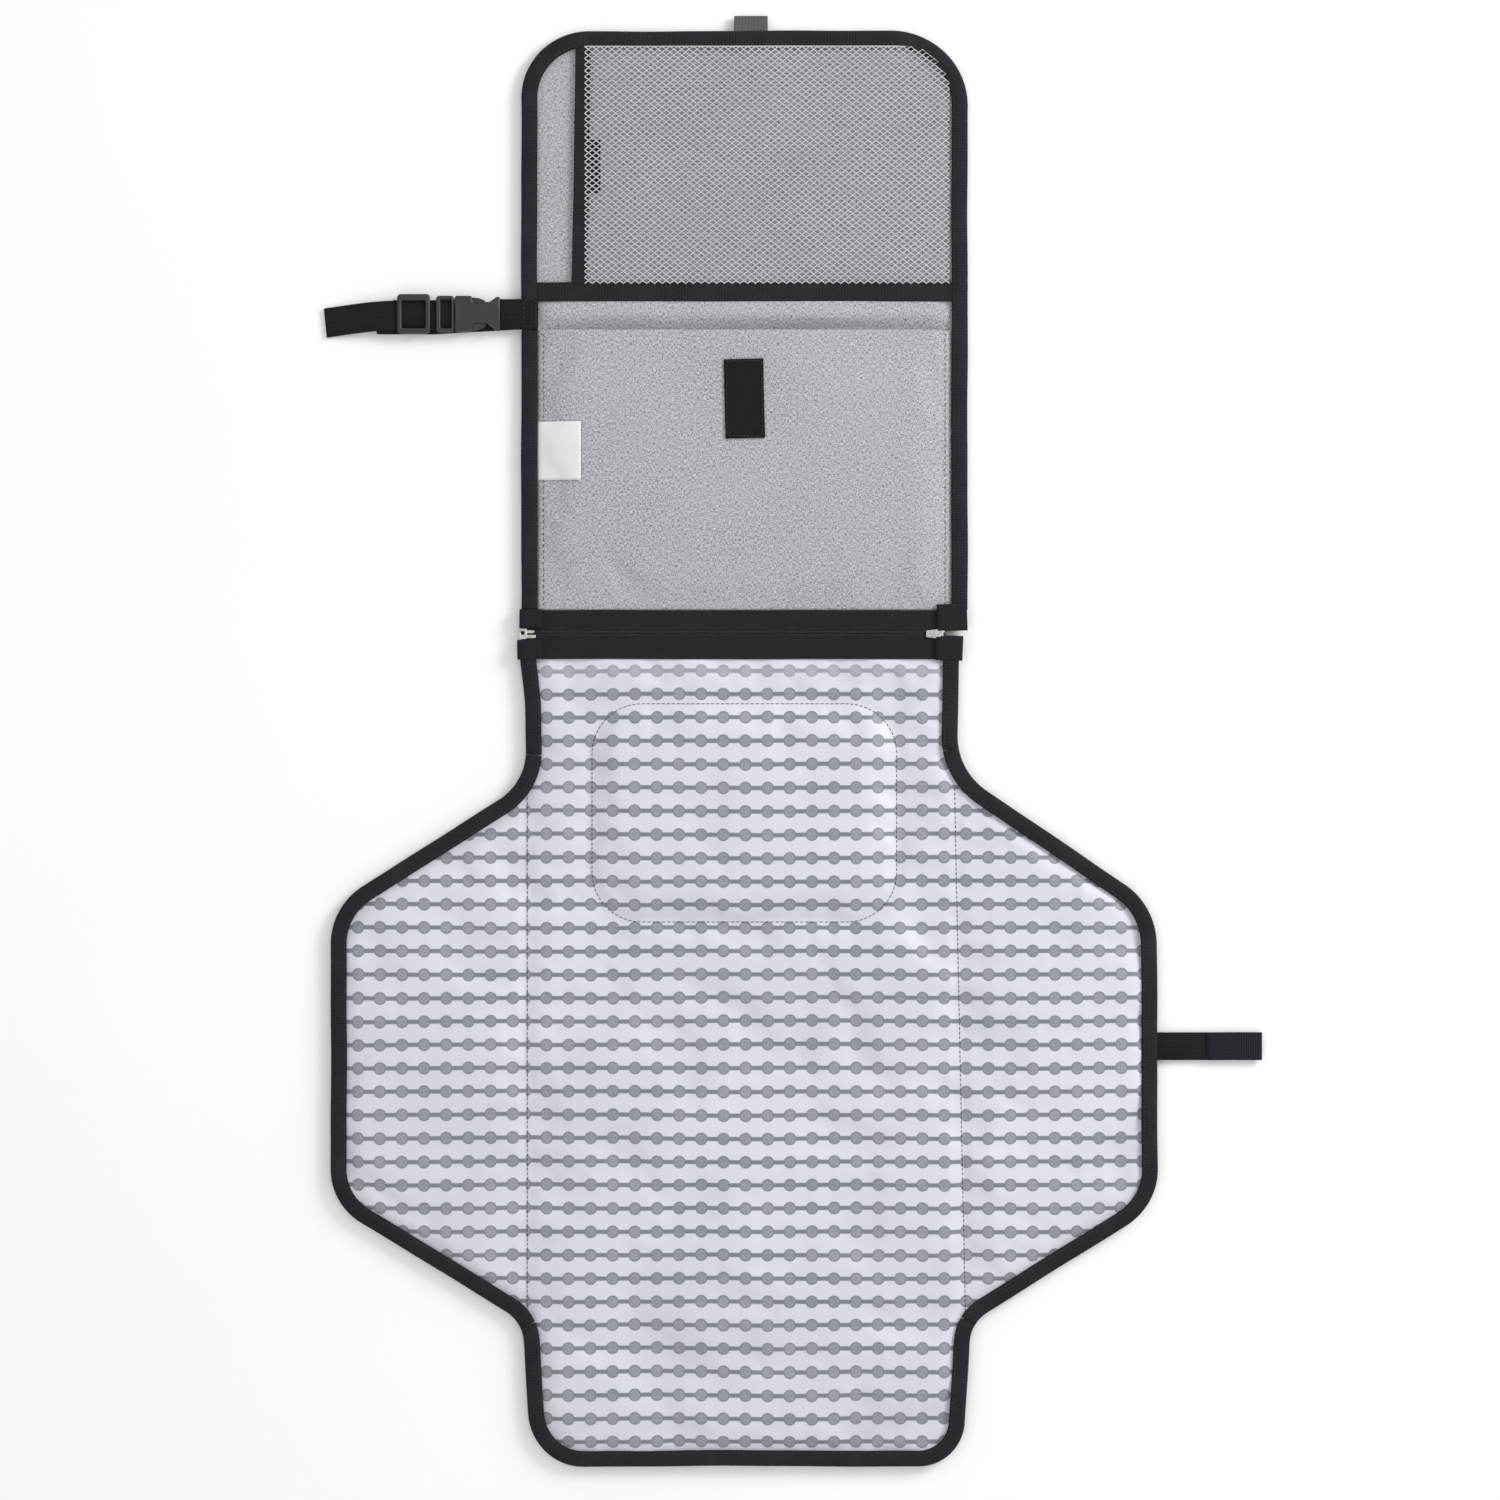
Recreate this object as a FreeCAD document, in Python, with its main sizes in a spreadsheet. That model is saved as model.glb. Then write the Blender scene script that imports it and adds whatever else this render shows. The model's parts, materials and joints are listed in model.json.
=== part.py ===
"""Changing pad: a padded mat with folding wings, zipped to an organizer with two pockets.

The mat lies flat with its underside at Z = 0. X runs across it, Y runs from foot to head.
The origin is on the centreline, halfway along the mat.
"""

import FreeCAD, Part
import math
import os

from FreeCAD import Placement, Rotation, Vector

os.makedirs("parts", exist_ok=True)
doc = FreeCAD.newDocument("changing_pad")

# ---------------------------------------------------------------- driving dimensions, in mm

SIZES = {
    # mat
    "mat_half_width": 150.0,
    "mat_half_length": 276.3,
    "foot_fold_y": -180.0,
    "wing_reach": 282.5,
    "wing_top_inner_y": 193.0,
    "wing_top_outer_y": 106.0,
    "wing_foot_outer_y": -99.0,
    "wing_foot_inner_y": -176.0,
    "wing_top_radius": 45.0,
    "wing_foot_radius": 40.0,
    "foot_radius": 26.0,
    "throat_reach": 8.0,
    "throat_rise": 4.5,
    "throat_drop": 3.5,
    "head_start_rise": 5.0,
    "fold_gap": 0.4,
    "binding_width": 11.0,
    "binding_height": 6.4,
    "back_sheet": 1.0,
    "foam_thick": 4.0,
    "top_sheet": 1.0,
    # head cushion
    "cushion_half_width": 104.0,
    "cushion_low_y": 96.0,
    "cushion_high_y": 245.0,
    "cushion_radius": 28.0,
    "cushion_cover": 0.8,
    "cushion_rise": 5.5,
    # zip
    "zip_y": 292.7,
    "zip_half_gap": 0.6,
    "coil_width": 1.6,
    "coil_low_z": 3.4,
    "coil_thick": 2.0,
    "tape_low_z": 4.0,
    "tape_thick": 0.8,
    "zip_left_x": -142.4,
    "slider_left_x": 124.0,
    "slider_long": 13.0,
    "slider_wide": 6.8,
    "plate_thick": 1.0,
    "plate_clearance": 0.3,
    "end_block_width": 18.0,
    "end_block_mat_long": 12.0,
    "end_block_organizer_long": 11.7,
    "end_block_thick": 2.0,
    "retainer_left_x": -154.0,
    "retainer_wide": 8.2,
    "retainer_low_z": 2.0,
    "retainer_thick": 5.0,
    "pin_left_x": -150.2,
    "pin_long": 7.6,
    "pin_radius": 1.0,
    "pin_clearance": 0.05,
    "pin_offset_y": 1.6,
    "pin_z": 4.5,
    "slider_post_long": 3.0,
    "slider_post_wide": 0.7,
    "ear_offset_x": 3.0,
    "ear_long": 2.0,
    "ear_wide": 0.8,
    "ear_spread": 3.2,
    "ear_low_z": 0.5,
    "ear_bite": 0.1,
    "bail_offset_x": 4.0,
    "bail_radius": 0.4,
    "bail_long": 6.0,
    "bail_z": 1.05,
    "puller_long": 18.0,
    "puller_wide": 4.0,
    "puller_thick": 0.8,
    "puller_offset_x": 0.6,
    "eye_radius": 0.9,
    "eye_bore": 0.48,
    # organizer
    "panel_half_width": 152.5,
    "panel_low_y": 309.2,
    "panel_fold_y": 526.7,
    "panel_top_y": 705.2,
    "panel_radius": 45.0,
    "panel_binding_height": 6.0,
    "shell_thick": 1.0,
    "stiffener_thick": 1.0,
    "lining_thick": 1.0,
    # pockets
    "pocket_room": 5.0,
    "pocket_cloth": 0.8,
    "flat_pocket_mouth_y": 500.0,
    "net_left_x": -107.5,
    "net_thick": 0.6,
    "net_low_y": 534.0,
    "cross_binding_gap": 0.2,
    "cross_binding_height": 3.4,
    "edge_binding_width": 11.0,
    "edge_binding_overlap": 2.0,
    "edge_binding_thick": 1.0,
    "hook_patch_left_x": -113.0,
    "hook_patch_low_y": 594.0,
    "hook_patch_wide": 14.6,
    "hook_patch_long": 36.0,
    "patch_wide": 27.0,
    "patch_long": 54.0,
    "patch_thick": 1.2,
    "patch_high_y": 480.0,
    "label_wide": 29.0,
    "label_long": 40.0,
    "label_low_y": 397.5,
    "label_thick": 0.5,
    "label_inset": 1.0,
    # strap
    "webbing_width": 20.0,
    "webbing_thick": 1.2,
    "strap_patch_left_x": -152.0,
    "strap_patch_long": 11.5,
    "strap_y": 511.0,
    "buckle_wide": 24.6,
    "buckle_thick": 7.4,
    "buckle_low_z": 1.8,
    "female_left_x": -197.7,
    "female_long": 31.0,
    "mouth_deep": 23.0,
    "mouth_wide": 19.6,
    "mouth_wall": 1.5,
    "window_offset_x": 10.0,
    "window_long": 12.0,
    "window_core": 16.0,
    "window_wall": 1.0,
    "slot_wide": 20.6,
    "female_slot_long": 2.6,
    "female_slot_end": 6.0,
    "male_left_x": -210.3,
    "male_long": 12.2,
    "male_slot_long": 3.4,
    "male_slot_offset_x": 2.6,
    "tongue_long": 18.5,
    "tongue_wide": 4.0,
    "tongue_thick": 3.0,
    "tongue_rise": 2.2,
    "prong_long": 20.0,
    "prong_inner_y": 6.0,
    "prong_tip_y": 6.4,
    "prong_outer_y": 8.4,
    "shoulder_start_x": 11.2,
    "shoulder_end_x": 14.0,
    "shoulder_y": 11.4,
    "prong_rise": 1.9,
    "prong_thick": 3.4,
    "glide_left_x": -237.0,
    "glide_long": 22.6,
    "glide_wide": 27.0,
    "glide_low_z": 3.0,
    "glide_thick": 5.8,
    "glide_side": 3.0,
    "glide_bar_long": 3.2,
    "glide_bar_thick": 1.8,
    "glide_middle_long": 4.0,
    "glide_middle_thick": 1.2,
    "tail_end_x": -287.0,
    # tab and hang loop
    "tab_reach": 354.0,
    "tab_y": 11.0,
    "tab_width": 19.0,
    "tab_low_z": 2.0,
    "hook_tape_left_x": 316.0,
    "hook_tape_thick": 1.4,
    "loop_wide": 23.0,
    "loop_long": 9.6,
    "loop_gap": 2.3,
    "loop_middle_x": 4.4,
    "loop_low_z": 1.2,
    "loop_thick": 3.6,
    "loop_wall": 0.9,
    "tab_gap": 1.2,
}

sheet = doc.addObject("Spreadsheet::Sheet", "Sizes")
for row, (alias, value) in enumerate(SIZES.items(), start=1):
    sheet.set(f"A{row}", alias)
    sheet.set(f"B{row}", str(value))
    sheet.setAlias(f"B{row}", alias)
doc.recompute()


def size(alias):
    """A driving dimension, read from the sheet."""
    return float(getattr(sheet, alias))


# ---------------------------------------------------------------- helpers

nodes = []


def plane_of(body, role):
    """The body's own origin plane with this role."""
    return next(f for f in body.Origin.OriginFeatures if f.Role == role)


def rounded_outline(points):
    """Lines and arcs round a closed outline. A point is (x, y) or (x, y, radius)."""
    corners = []
    count = len(points)
    for index, point in enumerate(points):
        here = Vector(point[0], point[1], 0)
        radius = point[2] if len(point) > 2 else 0
        if not radius:
            corners.append((here, None, here))
            continue
        before = Vector(*points[index - 1][:2], 0)
        after = Vector(*points[(index + 1) % count][:2], 0)
        back = (before - here).normalize()
        ahead = (after - here).normalize()
        half_angle = back.getAngle(ahead) / 2
        reach = radius / math.tan(half_angle)
        bisector = (back + ahead).normalize()
        middle = here + bisector * (radius / math.sin(half_angle) - radius)
        corners.append((here + back * reach, middle, here + ahead * reach))
    edges = []
    for index, (start, middle, end) in enumerate(corners):
        if middle is not None:
            edges.append(Part.Arc(start, middle, end))
        following = corners[(index + 1) % count][0]
        if end.distanceToPoint(following) > 1e-6:
            edges.append(Part.LineSegment(end, following))
    return edges


def inset(points, distance, open_edges=()):
    """The outline moved inwards, except along the open edges. Points run anticlockwise."""
    count = len(points)
    lines = []
    for index in range(count):
        start = Vector(*points[index][:2], 0)
        end = Vector(*points[(index + 1) % count][:2], 0)
        along = (end - start).normalize()
        inward = Vector(-along.y, along.x, 0)
        shift = 0 if index in open_edges else distance
        lines.append((start + inward * shift, along))
    moved = []
    for index in range(count):
        (a, u), (b, v) = lines[index - 1], lines[index]
        cross = u.x * v.y - u.y * v.x
        reach = ((b.x - a.x) * v.y - (b.y - a.y) * v.x) / cross
        corner = a + u * reach
        radius = points[index][2] if len(points[index]) > 2 else 0
        if radius:
            radius = radius - distance if cross > 0 else radius + distance
        moved.append((corner.x, corner.y, radius))
    return moved


def padded_body(name, outline, low, thick):
    """A body padded from a rounded outline. Low and thick are sheet expressions."""
    body = doc.addObject("PartDesign::Body", name)
    body.Label = name
    sketch = body.newObject("Sketcher::SketchObject", name + "_sketch")
    sketch.AttachmentSupport = [(plane_of(body, "XY_Plane"), "")]
    sketch.MapMode = "FlatFace"
    sketch.addGeometry(rounded_outline(outline), False)
    pad = body.newObject("PartDesign::Pad", name + "_pad")
    pad.Profile = sketch
    sketch.setExpression("AttachmentOffset.Base.z", low)
    pad.setExpression("Length", thick)
    body.Tip = pad
    nodes.append(body)
    return body


def box(name, x, y, z, long, wide, thick):
    """A box whose corner and sizes are all sheet expressions."""
    shape = doc.addObject("Part::Box", name)
    for axis, value in zip("xyz", (x, y, z)):
        shape.setExpression(f"Placement.Base.{axis}", value)
    shape.setExpression("Length", long)
    shape.setExpression("Width", wide)
    shape.setExpression("Height", thick)
    return shape


def box_node(name, *sizes):
    """A sub-part that is a plain box."""
    piece = box(name, *sizes)
    piece.Label = name
    nodes.append(piece)
    return piece


def rod(name, radius, long, place, axis):
    """A round bar along X or Y. Its sizes and the place of its end are sheet expressions."""
    shape = doc.addObject("Part::Cylinder", name)
    about, angle = {"x": (Vector(0, 1, 0), 90), "y": (Vector(1, 0, 0), -90)}[axis]
    shape.Placement = Placement(Vector(0, 0, 0), Rotation(about, angle))
    for coordinate, value in zip("xyz", place):
        shape.setExpression(f"Placement.Base.{coordinate}", value)
    shape.setExpression("Radius", radius)
    shape.setExpression("Height", long)
    return shape


def fused(name, pieces, is_node=True):
    """One solid made of several."""
    joined = doc.addObject("Part::MultiFuse", name)
    joined.Shapes = pieces
    joined.Refine = True
    joined.Label = name
    if is_node:
        nodes.append(joined)
    return joined


def cut_node(name, base, tools):
    """A sub-part with every tool cut from its base."""
    result = doc.addObject("Part::Cut", name)
    result.Base = base
    result.Tool = tools[0] if len(tools) == 1 else fused(name + "_tools", tools, False)
    result.Label = name
    nodes.append(result)
    return result


# ---------------------------------------------------------------- mat

S = "Sizes."
MAT_LAYERS = (
    ("back_sheet", "0", S + "back_sheet"),
    ("foam", S + "back_sheet", S + "foam_thick"),
    ("top_sheet", f"{S}back_sheet + {S}foam_thick", S + "top_sheet"),
)


def layered_panel(prefix, outline, layers):
    """Back sheet, filling and top sheet, one on another, inside the binding."""
    for suffix, low, thick in layers:
        padded_body(f"{prefix}_{suffix}", outline, low, thick)


def wing_outline(side):
    """Wing edge from the fold at the head end, round to the fold at the foot end."""
    fold = size("mat_half_width") + size("fold_gap")
    reach = size("wing_reach")
    top_slope = (size("wing_top_inner_y") - size("wing_top_outer_y")) / (reach - fold)
    foot_slope = (size("wing_foot_outer_y") - size("wing_foot_inner_y")) / (reach - fold)
    throat = size("throat_reach")
    points = [
        (-fold, size("wing_top_inner_y") + size("throat_rise")),
        (-fold - throat, size("wing_top_inner_y") - throat * top_slope),
        (-reach, size("wing_top_outer_y"), size("wing_top_radius")),
        (-reach, size("wing_foot_outer_y"), size("wing_foot_radius")),
        (-fold - throat, size("wing_foot_inner_y") + throat * foot_slope),
        (-fold, size("wing_foot_inner_y") - size("throat_drop")),
    ]
    if side == "right":
        points = [(-p[0], *p[1:]) for p in reversed(points)]
    return points


def binding_strip(outline, inner):
    """The area between an open run of the edge and the same run moved inwards."""
    return [*outline, *reversed(inner)]


for side in ("left", "right"):
    outline = wing_outline(side)
    fold_edge = len(outline) - 1
    inner = inset(outline, size("binding_width"), open_edges=(fold_edge,))
    layered_panel(f"{side}_wing", inner, MAT_LAYERS)
    padded_body(f"{side}_wing_binding", binding_strip(outline, inner), "0", S + "binding_height")

half = size("mat_half_width")
mat_end = size("mat_half_length")
head_side = half - size("binding_width")
head_start = size("wing_top_inner_y") + size("head_start_rise")
centre_outline = [
    (-half, size("foot_fold_y")),
    (half, size("foot_fold_y")),
    (half, head_start),
    (head_side, head_start),
    (head_side, mat_end),
    (-head_side, mat_end),
    (-head_side, head_start),
    (-half, head_start),
]
layered_panel("mat", centre_outline, MAT_LAYERS)
for name, corner_x in (
    ("head_binding_left", "-" + S + "mat_half_width"),
    ("head_binding_right", f"{S}mat_half_width - {S}binding_width"),
):
    box_node(
        name,
        corner_x,
        f"{S}wing_top_inner_y + {S}head_start_rise",
        "0",
        S + "binding_width",
        f"{S}mat_half_length - {S}wing_top_inner_y - {S}head_start_rise",
        S + "binding_height",
    )

foot_top = size("foot_fold_y") - size("fold_gap")
foot_outline = [
    (-half, foot_top),
    (-half, -mat_end, size("foot_radius")),
    (half, -mat_end, size("foot_radius")),
    (half, foot_top),
]
foot_inner = inset(foot_outline, size("binding_width"), open_edges=(3,))
layered_panel("foot", foot_inner, MAT_LAYERS)
padded_body("foot_binding", binding_strip(foot_outline, foot_inner), "0", S + "binding_height")

# ---------------------------------------------------------------- head cushion

cushion_outline = [
    (sign_x * size("cushion_half_width"), y, size("cushion_radius"))
    for sign_x, y in (
        (-1, size("cushion_low_y")),
        (1, size("cushion_low_y")),
        (1, size("cushion_high_y")),
        (-1, size("cushion_high_y")),
    )
]
cushion_inner = inset(cushion_outline, size("cushion_cover"))
mat_top = f"{S}back_sheet + {S}foam_thick + {S}top_sheet"
foam_rise = f"{S}cushion_rise - {S}cushion_cover"
padded_body("head_cushion_foam", cushion_inner, mat_top, foam_rise)
cushion_cover = padded_body("head_cushion_cover", cushion_outline, mat_top, S + "cushion_rise")
hollow_sketch = cushion_cover.newObject("Sketcher::SketchObject", "cushion_hollow_sketch")
hollow_sketch.AttachmentSupport = [(plane_of(cushion_cover, "XY_Plane"), "")]
hollow_sketch.MapMode = "FlatFace"
hollow_sketch.addGeometry(rounded_outline(cushion_inner), False)
hollow_sketch.setExpression("AttachmentOffset.Base.z", mat_top)
hollow = cushion_cover.newObject("PartDesign::Pocket", "cushion_hollow")
hollow.Profile = hollow_sketch
hollow.Reversed = True
hollow.setExpression("Length", foam_rise)
cushion_cover.Tip = hollow

# ---------------------------------------------------------------- zip

ZIP_LONG = f"{S}mat_half_width - {S}zip_left_x"
COIL_INNER = f"{S}zip_half_gap"
COIL_OUTER = f"({S}zip_half_gap + {S}coil_width)"

box_node("zip_coil_mat", S + "zip_left_x", f"{S}zip_y - {COIL_OUTER}", S + "coil_low_z",
         ZIP_LONG, S + "coil_width", S + "coil_thick")
box_node("zip_coil_organizer", S + "zip_left_x", f"{S}zip_y + {COIL_INNER}", S + "coil_low_z",
         ZIP_LONG, S + "coil_width", S + "coil_thick")
box_node("zip_tape_mat", S + "zip_left_x", S + "mat_half_length", S + "tape_low_z",
         ZIP_LONG, f"{S}zip_y - {COIL_OUTER} - {S}mat_half_length", S + "tape_thick")
box_node("zip_tape_organizer", S + "zip_left_x", f"{S}zip_y + {COIL_OUTER}", S + "tape_low_z",
         ZIP_LONG, f"{S}panel_low_y - {S}zip_y - {COIL_OUTER}", S + "tape_thick")

block_z = f"{S}tape_low_z + {S}tape_thick"
block_x = f"{S}mat_half_width - {S}end_block_width"
box_node("zip_end_block_mat", block_x, S + "mat_half_length", block_z,
         S + "end_block_width", S + "end_block_mat_long", S + "end_block_thick")
box_node("zip_end_block_organizer", block_x, f"{S}panel_low_y - {S}end_block_organizer_long",
         block_z, S + "end_block_width", S + "end_block_organizer_long", S + "end_block_thick")

# the retainer box is bored for the insertion pin
retainer = box("retainer_block", S + "retainer_left_x", f"{S}zip_y - {S}retainer_wide / 2",
               S + "retainer_low_z", f"{S}zip_left_x - {S}retainer_left_x",
               S + "retainer_wide", S + "retainer_thick")
pin_y = f"{S}zip_y + {S}pin_offset_y"
pin_hole = rod("pin_hole", f"{S}pin_radius + {S}pin_clearance",
               f"{S}zip_left_x - {S}pin_left_x + {S}pin_clearance",
               (f"{S}pin_left_x - {S}pin_clearance", pin_y, S + "pin_z"), "x")
cut_node("zip_retainer_box", retainer, [pin_hole])
pin = rod("zip_insertion_pin", S + "pin_radius", S + "pin_long",
          (S + "pin_left_x", pin_y, S + "pin_z"), "x")
nodes.append(pin)

# the slider's plates lie above and below the coil, joined by a post between its halves
slider_y = f"{S}zip_y - {S}slider_wide / 2"
upper_plate_z = f"{S}coil_low_z + {S}coil_thick + {S}plate_clearance"
lower_plate_z = f"{S}coil_low_z - {S}plate_clearance - {S}plate_thick"
slider_pieces = [
    box("slider_upper_plate", S + "slider_left_x", slider_y, upper_plate_z,
        S + "slider_long", S + "slider_wide", S + "plate_thick"),
    box("slider_lower_plate", S + "slider_left_x", slider_y, lower_plate_z,
        S + "slider_long", S + "slider_wide", S + "plate_thick"),
    box("slider_post", f"{S}slider_left_x + {S}slider_long - {S}slider_post_long",
        f"{S}zip_y - {S}slider_post_wide / 2", lower_plate_z, S + "slider_post_long",
        S + "slider_post_wide", f"2 * {S}plate_thick + {S}coil_thick + 2 * {S}plate_clearance"),
]
for ear, ear_y in (
    ("a", f"{S}zip_y - {S}ear_spread"),
    ("b", f"{S}zip_y + {S}ear_spread - {S}ear_wide"),
):
    slider_pieces.append(
        box(f"slider_ear_{ear}", f"{S}slider_left_x + {S}ear_offset_x", ear_y, S + "ear_low_z",
            S + "ear_long", S + "ear_wide", f"{lower_plate_z} - {S}ear_low_z + {S}ear_bite")
    )
bail_x = f"{S}slider_left_x + {S}bail_offset_x"
bail_pin = rod("slider_bail_pin", S + "bail_radius", S + "bail_long",
               (bail_x, f"{S}zip_y - {S}bail_long / 2", S + "bail_z"), "y")
fused("zip_slider", [*slider_pieces, bail_pin])

# the puller hangs on the slider's pin by a bored eye
puller_y = f"{S}zip_y - {S}puller_wide / 2"
puller_blade = box("puller_blade", f"{bail_x} - {S}puller_long - {S}puller_offset_x", puller_y,
                   f"{S}bail_z - {S}puller_thick / 2", S + "puller_long", S + "puller_wide",
                   S + "puller_thick")
puller_eye = rod("puller_eye", S + "eye_radius", S + "puller_wide",
                 (bail_x, puller_y, S + "bail_z"), "y")
puller_hole = rod("puller_hole", S + "eye_bore", S + "bail_long",
                  (bail_x, f"{S}zip_y - {S}bail_long / 2", S + "bail_z"), "y")
cut_node("zip_puller", fused("puller_blank", [puller_blade, puller_eye], False), [puller_hole])

# ---------------------------------------------------------------- organizer

PANEL_LAYERS = (
    ("shell", "0", S + "shell_thick"),
    ("stiffener", S + "shell_thick", S + "stiffener_thick"),
    ("lining", f"{S}shell_thick + {S}stiffener_thick", S + "lining_thick"),
)
LINING_TOP = f"{S}shell_thick + {S}stiffener_thick + {S}lining_thick"
lining_top = size("shell_thick") + size("stiffener_thick") + size("lining_thick")
panel = size("panel_half_width")
panel_fold = size("panel_fold_y")
binding = size("binding_width")

lower_inner = [
    (-panel + binding, size("panel_low_y")),
    (panel - binding, size("panel_low_y")),
    (panel - binding, panel_fold - size("fold_gap")),
    (-panel + binding, panel_fold - size("fold_gap")),
]
layered_panel("lower", lower_inner, PANEL_LAYERS)
for name, corner_x in (
    ("lower_binding_left", "-" + S + "panel_half_width"),
    ("lower_binding_right", f"{S}panel_half_width - {S}binding_width"),
):
    box_node(name, corner_x, S + "panel_low_y", "0", S + "binding_width",
             f"{S}panel_fold_y - {S}fold_gap - {S}panel_low_y", S + "panel_binding_height")

upper_outline = [
    (panel, panel_fold),
    (panel, size("panel_top_y"), size("panel_radius")),
    (-panel, size("panel_top_y"), size("panel_radius")),
    (-panel, panel_fold),
]
upper_inner = inset(upper_outline, binding, open_edges=(3,))
layered_panel("upper", upper_inner, PANEL_LAYERS)
padded_body("upper_binding", binding_strip(upper_outline, upper_inner), "0",
            S + "panel_binding_height")

# ---------------------------------------------------------------- pockets

# the flat pocket is a cloth tray, open towards the fold
pocket_skin = box("pocket_skin", f"{S}binding_width - {S}panel_half_width", S + "panel_low_y",
                  LINING_TOP, f"2 * ({S}panel_half_width - {S}binding_width)",
                  f"{S}flat_pocket_mouth_y - {S}panel_low_y",
                  f"{S}pocket_room + {S}pocket_cloth")
pocket_space = box("pocket_space",
                   f"{S}binding_width - {S}panel_half_width + {S}pocket_cloth",
                   f"{S}panel_low_y + {S}pocket_cloth", LINING_TOP,
                   f"2 * ({S}panel_half_width - {S}binding_width - {S}pocket_cloth)",
                   f"{S}flat_pocket_mouth_y - {S}panel_low_y", S + "pocket_room")
cut_node("flat_pocket_front", pocket_skin, [pocket_space])

POCKET_TOP = f"{LINING_TOP} + {S}pocket_room + {S}pocket_cloth"
box_node("pocket_loop_patch", f"-{S}patch_wide / 2", f"{S}patch_high_y - {S}patch_long", POCKET_TOP,
         S + "patch_wide", S + "patch_long", S + "patch_thick")
box_node("sewn_label", f"{S}binding_width - {S}panel_half_width + {S}label_inset",
         S + "label_low_y", POCKET_TOP, S + "label_wide", S + "label_long", S + "label_thick")

# the net is a tray too, open towards the left
net_left = size("net_left_x")
net_right = panel - binding
net_top = size("panel_top_y") - binding
net_radius = size("panel_radius") - binding
net_outline = [
    (net_left, size("net_low_y")),
    (net_right, size("net_low_y")),
    (net_right, net_top, net_radius),
    (net_left, net_top),
]
net_room = inset(net_outline, size("net_thick"), open_edges=(3,))
net_blank = padded_body("net_blank", net_outline, LINING_TOP,
                        f"{S}pocket_room + {S}net_thick")
net_space = padded_body("net_space", net_room, LINING_TOP, S + "pocket_room")
nodes.remove(net_blank)
nodes.remove(net_space)
cut_node("net_pocket", net_blank, [net_space])

box_node("net_edge_binding", f"{S}net_left_x - {S}edge_binding_width + {S}edge_binding_overlap",
         S + "net_low_y", f"{LINING_TOP} + {S}pocket_room + {S}net_thick",
         S + "edge_binding_width", f"{S}panel_top_y - {S}binding_width - {S}net_low_y",
         S + "edge_binding_thick")
box_node("cross_binding", f"{S}binding_width - {S}panel_half_width",
         f"{S}panel_fold_y + {S}cross_binding_gap", LINING_TOP,
         f"2 * ({S}panel_half_width - {S}binding_width)",
         f"{S}net_low_y - {S}panel_fold_y - {S}cross_binding_gap", S + "cross_binding_height")
box_node("net_hook_patch", S + "hook_patch_left_x", S + "hook_patch_low_y", LINING_TOP,
         S + "hook_patch_wide", S + "hook_patch_long", S + "patch_thick")

# ---------------------------------------------------------------- hang loop

# a folded tape, open through its width
loop_left = f"{S}loop_middle_x - {S}loop_wide / 2"
loop_outer = box("loop_outer", loop_left, f"{S}panel_top_y + {S}loop_gap", S + "loop_low_z",
                 S + "loop_wide", f"{S}loop_long - {S}loop_gap", S + "loop_thick")
loop_inner = box("loop_inner", loop_left, f"{S}panel_top_y - {S}loop_wall",
                 f"{S}loop_low_z + {S}loop_wall", S + "loop_wide", S + "loop_long",
                 f"{S}loop_thick - 2 * {S}loop_wall")
cut_node("hang_loop", loop_outer, [loop_inner])

# ---------------------------------------------------------------- strap

strap_low = size("strap_y") - size("webbing_width") / 2


def ribbon(name, points, thick):
    """A strip of webbing that follows points (x, z) along its middle."""
    upper = []
    lower = []
    for index, (x, z) in enumerate(points):
        before = points[max(index - 1, 0)]
        after = points[min(index + 1, len(points) - 1)]
        along = Vector(after[0] - before[0], after[1] - before[1], 0).normalize()
        across = Vector(-along.y, along.x, 0) * (thick / 2)
        upper.append(Vector(x + across.x, strap_low, z + across.y))
        lower.append(Vector(x - across.x, strap_low, z - across.y))
    outline = Part.makePolygon([*upper, *reversed(lower), upper[0]])
    strip = Part.Face(outline).extrude(Vector(0, size("webbing_width"), 0))
    piece = doc.addObject("Part::Feature", name)
    piece.Label = name
    piece.Shape = strip
    piece.Placement = Placement()
    nodes.append(piece)


def turn(centre_x, centre_z, radius, steps=8):
    """Points round the left-hand half of a circle, from below to above."""
    return [
        (centre_x - radius * math.sin(math.pi * i / steps),
         centre_z - radius * math.cos(math.pi * i / steps))
        for i in range(steps + 1)
    ]


panel_edge = -size("panel_half_width")
webbing = size("webbing_thick")
female_right = size("female_left_x") + size("female_long")
box_node("strap_patch", S + "strap_patch_left_x", f"{S}strap_y - {S}webbing_width / 2",
         S + "panel_binding_height", S + "strap_patch_long", S + "webbing_width",
         S + "webbing_thick")

# routes of the webbing, as points (x, z) along its middle
SHORT_ROUTE = [(panel_edge - 2.7, 5.6), (-158.0, 5.5), (female_right + 0.2, 5.5)]
LONG_ROUTE = [(panel_edge - 0.8, 0.8), *turn(-249.0, 3.0, 2.2), (-240.4, 5.2)]
DOUBLED_ROUTE = [(size("male_left_x") - 0.1, 5.6), (-240.2, 5.6)]
TAIL_ROUTE = [(-240.3, 6.5), (-250.0, 6.8), (-256.0, 6.3), (-264.0, 4.6), (-275.0, 2.0),
              (size("tail_end_x"), 1.2)]
ribbon("short_webbing", SHORT_ROUTE, webbing)
ribbon("long_webbing", LONG_ROUTE, webbing)
# the webbing passes twice through the tri-glide, then its upper layer runs out as the tail
ribbon("doubled_webbing", DOUBLED_ROUTE, 2 * webbing)
ribbon("tail_webbing", TAIL_ROUTE, webbing)

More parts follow.
